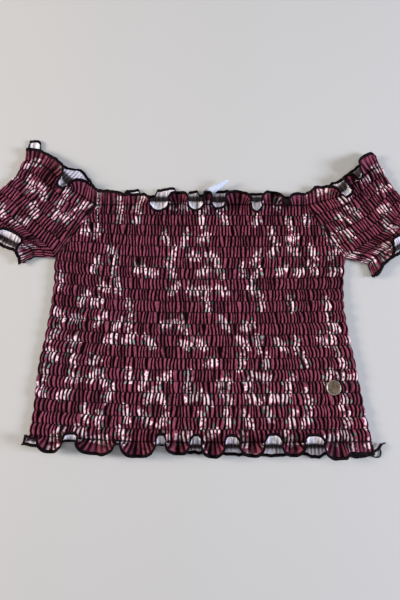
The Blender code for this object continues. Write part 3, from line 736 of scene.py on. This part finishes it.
def shirred_panel(name, node, pleats, base, up, depth):
    """A shirred body panel: fine pleats on its outer side over a flat closed base. It gives what the
    panel's ruffles need to know."""
    bands = ROW_COUNT - 1
    columns = pleats * COLUMNS_PER_PLEAT + 1
    rows = band_rows(bands)
    plan, width = body_plan(rows, columns)
    pitch = width / pleats
    even = plan[..., 0] / pitch
    puff, crest, slide = shirring(bands, even, SEEDS[name])
    random = np.random.default_rng(SEEDS[name] + SWAY_SEED)
    sway = np.stack([wander(np.arange(columns), *SWAY, random) for _ in range(ROW_COUNT)])
    sway = np.stack([np.interp(rows, np.arange(ROW_COUNT), line) for line in sway.T], axis=1)
    fade = rounded_edge(plan)
    height, shade = relief(puff, crest)
    height = height * depth * (PANEL_EDGE + (1 - PANEL_EDGE) * fade)
    if up > 0:
        away = np.linalg.norm(plan - np.array(BADGE_AT), axis=-1)
        height = np.minimum(height, BADGE_SEAT + DENT_RISE * smooth((away - BADGE_RADIUS) / DENT_WIDE))
    x = plan[..., 0] + slide * pitch * fade
    y = plan[..., 1] + sway * fade
    points = np.stack([x, y, base + up * height], axis=-1)
    across = even * PLEAT_PITCH * FULLNESS
    sheet = lay_sheet(name, points, flat_places(across, rows * ROW_SPACING), shade, (0, 0, up))
    in_edit("all", lambda: bpy.ops.mesh.remove_doubles(threshold=PANEL_WELD))
    count = len(sheet.data.vertices)
    in_edit("rim", lambda: bpy.ops.mesh.extrude_edges_move())
    places = np.empty(len(sheet.data.vertices) * 3)
    sheet.data.vertices.foreach_get("co", places)
    places[3 * count + 2::3] = base * MM
    sheet.data.vertices.foreach_set("co", places)
    close_solid()
    sheet.data.materials.append(cloth_print)
    for number in range(ROW_COUNT):
        row_thread(points[number * len(BAND_STEPS)], np.array((0.0, 0.0, up)))
    finish_piece(sheet, "shirred_print", node)
    return {"sheet": sheet, "node": node, "plan": plan, "crest": crest, "across": across, "base": base,
            "up": up, "depth": depth}


# %% Front and back panels
FRONT_PLEATS = 85
BACK_PLEATS = 85
BACK_DEPTH = 0.66
front = shirred_panel("front_panel", "body_front", FRONT_PLEATS, FRONT_BASE, 1, 1.0)
back = shirred_panel("back_panel", "body_back", BACK_PLEATS, BACK_BASE, -1, BACK_DEPTH)

# %% [markdown]
# ## Ruffles
# Beyond its last elastic row the cloth is free and springs out in a ruffle, with an overlocked edge.
# Each point of the edge leaves the row along a short path that bends by the fold's turn, so a lobe
# lies out flat and a fold turns back over the panel. The small gathers of the row run on down the
# ruffle and open towards its edge.

# %% Ruffle shape
RUFFLE_BEND = 0.34
RUFFLE_STEPS = 13
PATH_STEPS = 48
TABLE_LIE = 0.55
FOLD_MOST = math.radians(160)
FOLDED_OVER = 90
LOBE_TURN = 30
LOBE_ROUND = 15.0
LOBE_SPREAD = {"lobe": 0.27, "fold": 0.16}
ARC_POWER = {"lobe": 0.95, "fold": 0.7}
LOBE_CURL = 0.5
LOBE_LEAST = 0.9
LENGTH_WANDER = (12, 0.55)
SETTLE_BY = 0.4
GATHER_MIDDLE = 0.45
GATHER_SPRING = 1.5
GATHER_EDGE = 0.35
WAVE_SIZE = 0.75
WAVE_POWER = 1.4
WAVE_ON_TABLE = 0.55
SHADE_MIDDLE = 0.5
SHADE_FADE = 0.5
WAVE_SHADE = 0.2
LOWEST_SHADE = 0.05
ROW_SHADE = (0.25, 5.0)
HOLLOW = (0.28, 0.4)
HOLLOW_DEEP = {"neck": (8.0, 10.0), "hem": (5.0, 7.0)}
HOLLOW_BACK = 0.92


def run_of(slope):
    """The distance covered along a path of length 1, from its slope at each step."""
    middles = (slope[:, 1:] + slope[:, :-1]) / 2 / PATH_STEPS
    return np.concatenate([np.zeros((len(slope), 1)), np.cumsum(middles, axis=1)], axis=1)


def reach_of(turn):
    """How far out a path of length 1 ends, for the angle that it turns by."""
    return RUFFLE_BEND * np.sinc(turn / np.pi) + (1 - RUFFLE_BEND) * np.cos(turn)


def fold_values(ruffle, at, line):
    """The folds at each point of a row. Each fold and each lobe between two folds is rounded like a
    bell: the edge swings out and back in an arc, and spreads along the row on the way."""
    fold = {name: eased(at, ruffle["place"], ruffle[name]) for name in ("turn", "length", "spread")}
    over = fold["turn"] > FOLDED_OVER
    fold["hollow"] = np.zeros(len(at))
    place = run_along(line)
    ends = [0, *(np.flatnonzero(np.diff(over.astype(int))) + 1), len(over)]
    turns = np.linspace(0, FOLD_MOST, 100)
    reaches = reach_of(turns)
    for first, last in zip(ends, ends[1:]):
        here = slice(first, last)
        kind = "fold" if over[first] else "lobe"
        start = place[first] if first else -np.inf
        stop = place[last - 1] if last < len(over) else np.inf
        half = min((place[last - 1] - place[first]) / 2, LOBE_ROUND)
        before, after = place[here] - start, stop - place[here]
        q = np.clip(1 - np.minimum(before, after) / half, 0, 1)
        arc = (1 - q ** 2) ** ARC_POWER[kind]
        reach = arc * (reaches[-1] if over[first] else 1.0)
        turn = np.degrees(np.interp(reach, reaches[::-1], turns[::-1]))
        if over[first]:
            fold["turn"][here] = np.minimum(turn, fold["turn"][here].max())
        else:
            fold["turn"][here] = np.maximum(turn, np.minimum(fold["turn"][here], LOBE_TURN))
        way = np.where(before < after, -1.0, 1.0)
        fold["spread"][here] += way * half * LOBE_SPREAD[kind] * np.sin(np.pi * q)
        fold["hollow"][here] = over[first]
        if over.any():
            length = np.maximum(fold["length"][here], np.median(fold["length"][here]) * LOBE_LEAST)
            fold["length"][here] = length * (LOBE_CURL + (1 - LOBE_CURL) * np.sqrt(arc))
    return fold


def ruffle_points(base, outward, facing, fold, lie, crest, seed, deep_at):
    """Rows of points of a ruffle's outer face, from its elastic row to its edge. facing is the way
    the right side faces at the row, and lie is 1 where the ruffle settles on the table."""
    random = np.random.default_rng(seed)
    along = np.gradient(base, axis=0)
    along[:, 2] = 0
    along = unit(along)
    steps = np.linspace(0, 1, PATH_STEPS + 1)
    angle = np.radians(fold["turn"])[:, None] * np.minimum(steps / RUFFLE_BEND, 1)
    out, up = run_of(np.cos(angle)), run_of(np.sin(angle))
    count = len(base)
    length = fold["length"] + wander(np.arange(count), *LENGTH_WANDER, random)
    levels = np.linspace(0, 1, RUFFLE_STEPS)
    rows = []
    for level in levels:
        at_out = np.array([np.interp(level, steps, line) for line in out])
        at_up = np.array([np.interp(level, steps, line) for line in up])
        place = base + (at_out * length)[:, None] * outward + (level * fold["spread"])[:, None] * along
        settled = TABLE_LIE + SHEET_THICK - base[:, 2]
        place[:, 2] += at_up * length + lie * settled * smooth(level / SETTLE_BY)
        rows.append(place)
    rows = np.array(rows)
    normal = unit(np.cross(np.gradient(rows, axis=1), np.gradient(rows, axis=0)))
    normal *= np.sign(np.sum(normal[0] * facing, axis=-1))[None, :, None]
    wide = wander(np.arange(count), 3 * COLUMNS_PER_PLEAT, 1.0, random)
    t = levels[:, None]
    open_up = ROW_GATHER * (1 - t) + GATHER_SPRING * t * (1 - t) + GATHER_EDGE * t
    gather = (crest - GATHER_MIDDLE) * open_up
    gather = gather + wide * WAVE_SIZE * t ** WAVE_POWER * (1 - WAVE_ON_TABLE * lie)
    rows = rows + normal * gather[..., None]
    rows[..., 2] = np.maximum(rows[..., 2], lie * (t > 0) * TABLE_LIE)
    # Painted shade: the ruffle is darker near its row and in the valleys of its gathers, and lighter on the
    # crests of its waves.
    shade = SHADE_MIDDLE + (crest - SHADE_MIDDLE) * (1 - SHADE_FADE * t) + WAVE_SHADE * wide * t
    shade = np.clip(shade, LOWEST_SHADE, 1)
    shade = shade * np.clip(ROW_SHADE[0] + ROW_SHADE[1] * t, 0, 1)
    deep = 1 - smooth((t * length - deep_at[0]) / (deep_at[1] - deep_at[0]))
    # Painted shade deep in a fold that turns over, and on a back ruffle near its row, where the front layer
    # shadows it.
    hollow = fold["hollow"] * (1 - smooth((t - HOLLOW[0]) / (HOLLOW[1] - HOLLOW[0])))
    hollow = np.maximum(hollow * (1 - lie), HOLLOW_BACK * lie * deep)
    return rows, shade, length, hollow


def ruffle_cloth(u, start, length, way):
    """The flat cloth's place of each point of a ruffle."""
    v = start + way * np.linspace(0, 1, RUFFLE_STEPS)[:, None] * length[None, :]
    return np.stack(np.broadcast_arrays(u, v), axis=-1)


# %% [markdown]
# ## Overlocked edges
# The overlock wraps the cut edge in dark thread, about 2 mm wide and a little thicker than the cloth.
# It is a flattened tube that follows the ruffle's edge and leans as the edge leans.

# %% Overlock
OVERLOCK_WIDE = 1.55
OVERLOCK_THICK = 0.8
OVERLOCK_SIDES = 8
OVERLOCK_IN = 0.35


def overlock(name, rows, facing):
    """A flattened tube of thread along the last row of a ruffle, and the edge's real length."""
    edge = rows[-1]
    out = unit(edge - rows[-2])
    over = unit(np.cross(unit(np.gradient(edge, axis=0)), out))
    sign = np.sign(np.sum(np.cross(np.gradient(rows[0], axis=0), rows[1] - rows[0]) * facing, axis=-1))
    over *= sign[:, None]
    middle = edge - out * OVERLOCK_IN - over * SHEET_THICK / 2
    made = tube(name, middle, out, over, OVERLOCK_WIDE, OVERLOCK_THICK, OVERLOCK_SIDES)
    made.data.materials.append(overlock_thread)
    finish_piece(made, "shirred_print")
    return made, run_along(edge)[-1]


def ruffle(name, node, base, outward, facing, fold, lie, crest, seed, start, way, across):
    """A ruffle with its thickness and its overlocked edge."""
    deep_at = HOLLOW_DEEP["neck" if "neck" in name else "hem"]
    rows, shade, length, hollow = ruffle_points(base, outward, facing, fold, lie, crest, seed, deep_at)
    cloth = ruffle_cloth(across, start, length, way)
    sheet = lay_sheet(name, rows, cloth, shade, (0, 0, 1), hollow)
    if sheet.data.polygons[0].normal.dot(facing[0]) < 0:
        sheet.data.flip_normals()
    thicken(sheet)
    finish_piece(sheet, "shirred_print", node)
    edging, long = overlock(name + "_overlock", rows, facing)


# %% Body ruffles
SEAM_EASE = 26.0


def normals_in_plan(line, towards):
    """Unit vectors square to a row in plan, on the side of the given direction."""
    along = np.gradient(line[:, :2], axis=0)
    across = unit(np.stack([along[:, 1], -along[:, 0]], axis=1))
    across *= np.sign(across @ np.array(towards, float))[:, None]
    return np.column_stack([across, np.zeros(len(line))])


def ease_to_seam(outward, line, end, seam):
    """Turns the ruffle's directions to the seam's own direction at one end of a row."""
    seam = np.array([*seam, 0.0]) / np.linalg.norm(seam)
    near = np.linalg.norm(line - line[end], axis=1)
    share = smooth(near / SEAM_EASE)[:, None]
    return unit(share * outward + (1 - share) * seam)


def doubled(values):
    """The values with one more between each two, because a ruffle needs finer steps than its row."""
    at = np.arange(2 * len(values) - 1) / 2
    return np.stack([np.interp(at, np.arange(len(values)), v) for v in values.reshape(len(values), -1).T],
                    axis=-1).reshape(len(at), *values.shape[1:])


def body_ruffle(name, panel, row, edge):
    """The ruffle at a body panel's first or last row."""
    plan, up = panel["plan"], panel["up"]
    kept = np.append(True, np.diff(plan[row, :, 0]) > SAME_PLACE)
    line = doubled(plan[row, kept])
    columns = len(line)
    outward = normals_in_plan(line, (0, 1) if row else (0, -1))
    if row:
        for end in (0, -1):
            outward = ease_to_seam(outward, line, end, (0, 1))
    level = panel["base"] + up * ROW_HEIGHT * panel["depth"]
    ruffle(name, panel["node"], np.column_stack([line, np.full(columns, level)]), outward,
           np.tile((0.0, 0.0, float(up)), (columns, 1)), fold_values(edge, line[:, 0], line),
           np.full(columns, 0.0 if up > 0 else 1.0), doubled(panel["crest"][row, kept]), SEEDS[name],
           (ROW_COUNT - 1) * ROW_SPACING if row else 0.0, 1 if row else -1,
           doubled(panel["across"][row, kept]))


body_ruffle("front_hem_ruffle", front, 0, FRONT_HEM)
body_ruffle("front_neck_ruffle", front, -1, FRONT_NECK)
body_ruffle("back_hem_ruffle", back, 0, BACK_HEM)
body_ruffle("back_neck_ruffle", back, -1, BACK_NECK)

# %% [markdown]
# ## The sleeves
# Each sleeve is one cut piece, folded at its outer edge: a front layer, a round fold and a back layer.
# Its elastic rows run from the raglan seam to the fold. Points are read from a plan between the neck
# row, the cuff row, the seams and the fold, and are then lifted off the surface by the same pleats.

# %% Sleeve plan
SLEEVE_BANDS = 7
RAGLAN_ROWS = 5
SLEEVE_FRONT_PLEATS = 25
SLEEVE_BACK_PLEATS = 23
FOLD_COLUMNS = 9
FOLD_ROUND = 1.8
SEAM_GAP = 0.3
PLAN_STEPS = 41


def smooth_curve(points, share):
    """Points on a Catmull-Rom curve through an outline, spaced by length. share is 0 to 1."""
    ends = np.vstack([2 * points[0] - points[1], points, 2 * points[-1] - points[-2]])
    t = np.linspace(0, 1, PATH_STEPS, endpoint=False)[:, None]
    dense = []
    for a, b, c, d in zip(ends, ends[1:], ends[2:], ends[3:]):
        dense.append(0.5 * (2 * b + (c - a) * t + (2 * a - 5 * b + 4 * c - d) * t**2
                            + (3 * b - a - 3 * c + d) * t**3))
    dense = np.vstack([*dense, points[-1:]])
    along = run_along(dense)
    return np.stack([np.interp(np.asarray(share) * along[-1], along, dense[:, k]) for k in (0, 1)], axis=-1)


def sleeve_plan(shape, share, down):
    """Plan points of a sleeve. share is 0 at the inner seams and 1 at the fold, and down is 0 at the
    neck row and 1 at the cuff row."""
    outline = {key: np.column_stack([shape[key]["x"], shape[key]["y"]]) for key in ("neck", "cuff", "fold")}
    armpit = shape["armpit"]
    raglan_share = RAGLAN_ROWS / SLEEVE_BANDS
    at = down[:, None]
    inner_seam = np.where(
        at <= raglan_share,
        outline["neck"][0] + (armpit - outline["neck"][0]) * at / raglan_share,
        armpit + (outline["cuff"][0] - armpit) * (at - raglan_share) / (1 - raglan_share),
    )
    fold = smooth_curve(outline["fold"], down)
    neck = smooth_curve(outline["neck"], share)
    cuff = smooth_curve(outline["cuff"], share)
    s = share[None, :, None]
    t = down[:, None, None]
    corners = (1 - s) * (1 - t) * neck[0] + s * (1 - t) * neck[-1]
    corners = corners + (1 - s) * t * cuff[0] + s * t * cuff[-1]
    return (1 - t) * neck + t * cuff + (1 - s) * inner_seam[:, None] + s * fold[:, None] - corners


def read_plan(plan, shares):
    """Plan points read from the plan's grid at each row's own shares."""
    every = np.linspace(0, 1, plan.shape[1])
    return np.stack([[np.interp(line, every, row[:, k]) for line, row in zip(shares, plan)]
                     for k in (0, 1)], axis=-1)


def around_fold(front, back, towards, seam):
    """A sleeve ruffle's directions: over the front layer, round the fold and along the back layer."""
    front, back = [np.column_stack([line, np.zeros(len(line))]) for line in (front, back)]
    over = ease_to_seam(normals_in_plan(front, towards), front, 0, seam)
    under = ease_to_seam(normals_in_plan(back, towards), back, -1, seam)
    turn = np.linspace(0, 1, FOLD_COLUMNS + 2)[1:-1, None]
    return np.concatenate([over, unit((1 - turn) * over[-1] + turn * under[0]), under])


# %% Sleeve cloth
SLEEVE_CLOTH = {"left": 1000.0, "right": 2000.0}
SLEEVE_EDGE = 0.3
SLEEVE_LEAST = 0.6
LEAST_STEP = 0.3
FOLD_SHARE = 0.97
LIE_BLEND = 9


def sleeve(side, outwards, shape):
    """One sleeve with its cloth, its two ruffles and their overlocked edges."""
    node = "sleeve_" + side
    shape = dict(shape, armpit=np.array([body_edge(np.array(ARMPIT_Y), side), ARMPIT_Y], float))
    rows = band_rows(SLEEVE_BANDS)
    plan = sleeve_plan(shape, np.linspace(0, 1, PLAN_STEPS), rows / SLEEVE_BANDS)
    width = np.linalg.norm(plan[:, -1] - plan[:, 0], axis=1)[:, None]
    tuck, gap = FOLD_ROUND / width, SEAM_GAP / width
    front = np.linspace(0, 1, SLEEVE_FRONT_PLEATS * COLUMNS_PER_PLEAT + 1)
    back = np.linspace(1, 0, SLEEVE_BACK_PLEATS * COLUMNS_PER_PLEAT + 1)
    over, under = [read_plan(plan, gap + (1 - tuck - gap) * layer) for layer in (front, back)]
    away = unit(plan[:, -1] - over[:, -1])
    angle = np.linspace(np.pi / 2, -np.pi / 2, FOLD_COLUMNS + 2)[1:-1]
    turn = np.concatenate([np.full(len(front), np.pi / 2), angle, np.full(len(back), -np.pi / 2)])
    columns = len(turn)
    flat_plan = np.concatenate([over, np.repeat(over[:, -1:], FOLD_COLUMNS, axis=1), under], axis=1)
    level = (FRONT_BASE + BACK_BASE) / 2 + (FRONT_BASE - BACK_BASE) / 2 * np.sin(turn)
    whole = (len(rows), columns, 1)
    base = np.concatenate([flat_plan, np.broadcast_to(level[:, None], whole)], axis=-1)
    normal = np.concatenate([away[:, None] * np.cos(turn)[None, :, None],
                             np.broadcast_to(np.sin(turn)[:, None], whole)], axis=-1)
    depth = np.interp(np.sin(turn), [-1, 1], [BACK_DEPTH, 1.0])
    even = np.broadcast_to(np.arange(columns) / COLUMNS_PER_PLEAT, (len(rows), columns))
    puff, crest, slide = shirring(SLEEVE_BANDS, even, SEEDS[node])
    height, shade = relief(puff, crest)
    fade = rounded_edge(base[:, :, :2])
    height = np.maximum(height * depth * (SLEEVE_EDGE + (1 - SLEEVE_EDGE) * fade), SLEEVE_LEAST)
    along = np.gradient(base, axis=1)
    along[..., 2] = 0
    along = unit(along, LEAST_STEP)
    points = base + normal * height[..., None] + along * (slide * PLEAT_PITCH * fade)[..., None]
    across = even[0] * PLEAT_PITCH * SLEEVE_FULLNESS + SLEEVE_CLOTH[side]
    cloth = flat_places(across, rows * ROW_SPACING)
    sheet = lay_sheet(node + "_cloth", points, cloth, shade, (0, 0, 1))
    if sheet.data.polygons[0].normal.z < 0:
        sheet.data.flip_normals()
    thicken(sheet)
    finish_piece(sheet, "shirred_print", node)
    long = SLEEVE_BANDS * ROW_SPACING
    for row in range(0, len(rows), len(BAND_STEPS)):
        row_thread(points[row], normal[row])
    around = np.interp(angle, [-np.pi / 2, np.pi / 2], [2 - FOLD_SHARE, FOLD_SHARE])
    share = np.concatenate([front * FOLD_SHARE, around, 2 - back * FOLD_SHARE])
    lie = (np.arange(columns) >= len(front) + FOLD_COLUMNS // 2).astype(float)
    lie = np.convolve(np.pad(lie, LIE_BLEND // 2, mode="edge"), np.ones(LIE_BLEND) / LIE_BLEND, "valid")
    edges = (
        ("neck", 0, (-outwards, 2), (0, 1), 0.0, -1),
        ("cuff", -1, (outwards, -2), shape["underarm"], long, 1),
    )
    for edge, row, towards, seam, start, way in edges:
        line = doubled(base[row] + normal[row] * (ROW_HEIGHT * depth)[:, None])
        ruffle(node + "_" + edge + "_ruffle", node, line,
               unit(doubled(around_fold(over[row], under[row], towards, seam))), doubled(normal[row]),
               fold_values(shape[edge + "_ruffle"], doubled(share), line), doubled(smooth(lie)),
               doubled(crest[row]), SEEDS[node] + RUFFLE_SEED + row, start, way, doubled(across))


sleeve("left", -1, LEFT_SLEEVE)
sleeve("right", 1, RIGHT_SLEEVE)
joined("shirring_threads", row_threads, "shirred_print")

# %% [markdown]
# ## The badge
# A small plain disc of antique brass lies on the front, held by a stitch under its middle. It is turned
# from a thin round plate: the face is set in a little from a rounded rim, and the rim has been rubbed
# brighter than the face.

# %% Badge
BADGE_RIM = 0.5
BADGE_STEP = 0.25
BADGE_DISH = 0.3
BADGE_ROUND = 0.3
BADGE_LIFT = 0.1
BADGE_SIDES = 72
FACES_UP = 0.9
SHARP = math.radians(35)
RIM_SHARP = math.radians(40)
BRASS_FACE = "#7F705E"
BRASS_DULL = "#5A4E42"
BRASS_WORN = "#A9A294"
BRASS_CLOUD = {"Scale": 420.0, "Detail": 4.0}
BRASS_SPOTS = (0.35, 0.7)
BRASS_SHINE = (0.3, 0.7, 0.55, 0.36)
WORN_FROM = 0.9
WORN_TO = 0.5


def antique_brass():
    """Brass that has gone dull and brown, with worn spots. Its shine is soft, not a mirror."""
    material, tree, shader = new_material("antique_brass", Metallic=1.0)
    place = add(tree, "TexCoord").outputs["Object"]
    cloud = add(tree, "TexNoise", {"Vector": place, **BRASS_CLOUD}).outputs[0]
    worn = mix(tree, ramp(tree, cloud, *BRASS_SPOTS), linear(BRASS_DULL), linear(BRASS_FACE))
    flat = vector_node(tree, "MULTIPLY", place, (1.0, 1.0, 0.0))
    away = vector_node(tree, "DISTANCE", flat, (BADGE_AT[0] * MM, BADGE_AT[1] * MM, 0.0))
    rim = ramp(tree, away, (BADGE_RADIUS - WORN_FROM) * MM, (BADGE_RADIUS - WORN_TO) * MM)
    tree.links.new(mix(tree, rim, worn, linear(BRASS_WORN)), shader.inputs["Base Color"])
    tree.links.new(ramp(tree, cloud, *BRASS_SHINE), shader.inputs["Roughness"])
    return material


deselect()
badge_middle = FRONT_BASE + BADGE_SEAT + BADGE_LIFT + BADGE_THICK / 2
bpy.ops.mesh.primitive_cylinder_add(vertices=BADGE_SIDES, radius=BADGE_RADIUS * MM, depth=BADGE_THICK * MM,
                                    location=[v * MM for v in (*BADGE_AT, badge_middle)])
badge = bpy.context.active_object
badge.name = "badge_disc"
bpy.ops.object.transform_apply(location=True, rotation=True, scale=True)
in_edit("none")
for face in badge.data.polygons:
    face.select = face.normal.z > FACES_UP
bpy.ops.object.mode_set(mode="EDIT")
bpy.ops.mesh.inset(thickness=BADGE_RIM * MM, depth=0)
bpy.ops.mesh.inset(thickness=BADGE_STEP * MM, depth=-BADGE_DISH * MM)
bpy.ops.object.mode_set(mode="OBJECT")
rounding = badge.modifiers.new("rim", "BEVEL")
rounding.width = BADGE_ROUND * MM
rounding.segments = 3
rounding.angle_limit = RIM_SHARP
bpy.ops.object.modifier_apply(modifier=rounding.name)
badge.data.materials.append(antique_brass())
bpy.ops.object.shade_smooth_by_angle(angle=SHARP)
finish_piece(badge, "antique_brass", "badge")

# %% [markdown]
# ## The neck label
# A short loop of pale blue-white satin ribbon is caught in the back neck and leans out over it. Only
# its end shows. It is a thin strip with a soft twist. Its colour is painted dark as shade where it goes
# inside, and fades to its own pale towards the tip.

# %% Neck label
LABEL_WIDE = 9.5
LABEL_LONG = 24.0
LABEL_THICK = 0.35
LABEL_AT = (5.0, 114.0)
LABEL_LEAN = math.radians(-56)
LABEL_COLUMNS, LABEL_ROWS = 13, 19
LABEL_SLANT = 3.0
LABEL_TAPER = 0.72
LABEL_LOW = 3.4
LABEL_ARCH = 3.4
LABEL_ARCH_TURN = 0.6 * math.pi
LABEL_CUP = 1.2
LABEL_CUP_TURN = 5.0
LABEL_LIT = (0.1, 0.2)
LABEL_PALE = "#C6D4EE"
LABEL_SHADE = "#2A2A38"
LABEL_WEAVE = 0.3


def label_satin():
    """Woven satin ribbon: pale, a little blue, with a soft sheen along its weave, and painted shade near
    its base.
    """
    material, tree, shader = new_material("label_satin", Roughness=0.45, Sheen_Weight=0.2)
    lit = add(tree, "Attribute", attribute_name="crest").outputs["Fac"]
    tree.links.new(mix(tree, lit, linear(LABEL_SHADE), linear(LABEL_PALE)), shader.inputs["Base Color"])
    weave(tree, add(tree, "UVMap", uv_map="cloth").outputs[0], LABEL_WEAVE, shader)
    return material


long_share = np.linspace(0, 1, LABEL_ROWS)[:, None]
wide_share = np.linspace(-0.5, 0.5, LABEL_COLUMNS)[None, :]
along = long_share * LABEL_LONG + wide_share * LABEL_SLANT * long_share
side = wide_share * LABEL_WIDE * (1 - LABEL_TAPER * long_share)
x = LABEL_AT[0] + side * math.cos(LABEL_LEAN) - along * math.sin(LABEL_LEAN)
y = LABEL_AT[1] + side * math.sin(LABEL_LEAN) + along * math.cos(LABEL_LEAN)
z = LABEL_LOW + LABEL_ARCH * np.sin(long_share * LABEL_ARCH_TURN)
z = z + LABEL_CUP * long_share * np.cos(wide_share * LABEL_CUP_TURN)
# Painted shade: the label is dark near its base and pale from a little way along.
lit = np.broadcast_to(smooth((long_share - LABEL_LIT[0]) / LABEL_LIT[1]), x.shape)
cloth = flat_places(wide_share * LABEL_WIDE, long_share[:, 0] * LABEL_LONG)
label = lay_sheet("neck_label_ribbon", np.stack([x, y, z], axis=-1), cloth, lit, (0, 0, 1))
wall = label.modifiers.new("ribbon", "SOLIDIFY")
wall.thickness = LABEL_THICK * MM
wall.offset = -1
bpy.ops.object.modifier_apply(modifier=wall.name)
label.data.materials.append(label_satin())
bpy.ops.object.shade_smooth()
finish_piece(label, "label_satin", "neck_label")

# %% [markdown]
# ## Seam stitches and the loose thread
# A short run of pale overlock stitches shows where the left raglan seam runs up into the neck ruffle,
# and the overlock's last thread hangs loose at the right corner of the hem. Both are thin tubes.

# %% Seam stitches and loose thread
STITCH_COUNT = 8
STITCH_AT = (-93.5, 88.5)
STITCH_LONG = 2.0
STITCH_STEP = 3.2
STITCH_SWING = 0.1
STITCH_BOW = 0.3
STITCH_HIGH = {"panel": 5.4, "ruffle": 6.0}
STITCH_RADIUS = 0.32
PALE_THREAD = "#C9BCC6"
PALE_RIDGES = 0.4
TAIL_RADIUS = 0.55
TAIL = ((143.0, -114.5, 2.4), (147.5, -117.6, 1.2), (152.0, -117.6, 0.6), (153.6, -114.0, 0.6),
        (153.0, -110.5, 0.6), (155.0, -107.6, 0.5), (158.0, -106.2, 0.5))
TAIL_POINTS = 40
KNOT = ((147.0, -113.0, 2.6), (150.0, -111.5, 2.6), (152.5, -109.0, 2.4), (153.6, -106.6, 2.2))
KNOT_RADIUS = 1.1
pale_thread = thread("pale_polyester", PALE_THREAD, PALE_RIDGES)
stitches = []
for number in range(STITCH_COUNT):
    low = STITCH_AT[1] + STITCH_STEP * number
    x = STITCH_AT[0] + STITCH_SWING * (-1) ** number
    high = STITCH_HIGH["panel" if low < NECK_END_Y else "ruffle"]
    line = [(x, low, high), (x + STITCH_BOW, low + STITCH_LONG / 2, high + STITCH_BOW),
            (x, low + STITCH_LONG, high)]
    stitches.append(thread_tube("seam_stitch", line, STITCH_RADIUS, pale_thread))
joined("raglan_stitches", stitches, "shirred_print")
bends = np.array(TAIL)
share = np.linspace(0, 1, TAIL_POINTS)
rise = np.interp(share, np.linspace(0, 1, len(bends)), bends[:, 2])
tail = np.column_stack([smooth_curve(bends[:, :2], share), rise])
tail_tube = thread_tube("loose_thread", tail, TAIL_RADIUS, overlock_thread)
knot_tube = thread_tube("overlock_end", KNOT, KNOT_RADIUS, overlock_thread)
joined("loose_thread", [tail_tube, knot_tube], "shirred_print")
print("loose thread:", round(run_along(tail)[-1], 1), "mm")

# %% [markdown]
# ## The table
# The top lies on a plain white laminate table. The photograph shows it an even light grey, with
# hardly any shine, so its laminate is matt. It isn't part of the object.

# %% Table top
TABLE_SIZE = 3.0
TABLE_BELOW = 0.0001
TABLE_WHITE = "#BEBEBD"
deselect()
bpy.ops.mesh.primitive_plane_add(size=TABLE_SIZE, location=(0, 0, -TABLE_BELOW))
floor = bpy.context.active_object
floor.name = "table_top"
laminate = new_material("white_laminate", Roughness=0.8, Base_Color=linear(TABLE_WHITE),
                        Specular_IOR_Level=0.05)[0]
floor.data.materials.append(laminate)
print("table:", floor.name, TABLE_WHITE)

# %% [markdown]
# ## The light
# The room is evenly bright, so a soft world light does most of the work and no shadow is deep. A wide
# window light stands over the neck. Two far lamps at the sides, one a little warm and one a little
# cool, graze the cloth and draw out its pleats.

# %% Light
LIGHTS = (
    ("window", (0.1, 0.35, 1.3), 1.2, 4.5, "#FFFFFF"),
    ("warm side", (-1.4, 0.15, 0.62), 0.45, 25.0, "#FFF2E2"),
    ("cool side", (1.4, -0.15, 0.62), 0.45, 28.0, "#E6ECFF"),
)
ROOM_TINT = "#E6E8EC"
ROOM_LIGHT = 0.31
for name, place, size, power, tint in LIGHTS:
    bpy.ops.object.light_add(type="AREA", location=place)
    lamp = bpy.context.active_object
    lamp.name = name
    lamp.data.size = size
    lamp.data.energy = power
    lamp.data.color = linear(tint)[:3]
    aim = -np.array(place) / np.linalg.norm(place)
    lamp.rotation_euler = (math.acos(-aim[2]), 0, math.atan2(-aim[0], aim[1]))
    print("light:", name, power, "W")
world = bpy.data.worlds.new("soft room light")
bpy.context.scene.world = world
world.use_nodes = True
room = world.node_tree.nodes["Background"].inputs
room["Color"].default_value = linear(ROOM_TINT)
room["Strength"].default_value = ROOM_LIGHT
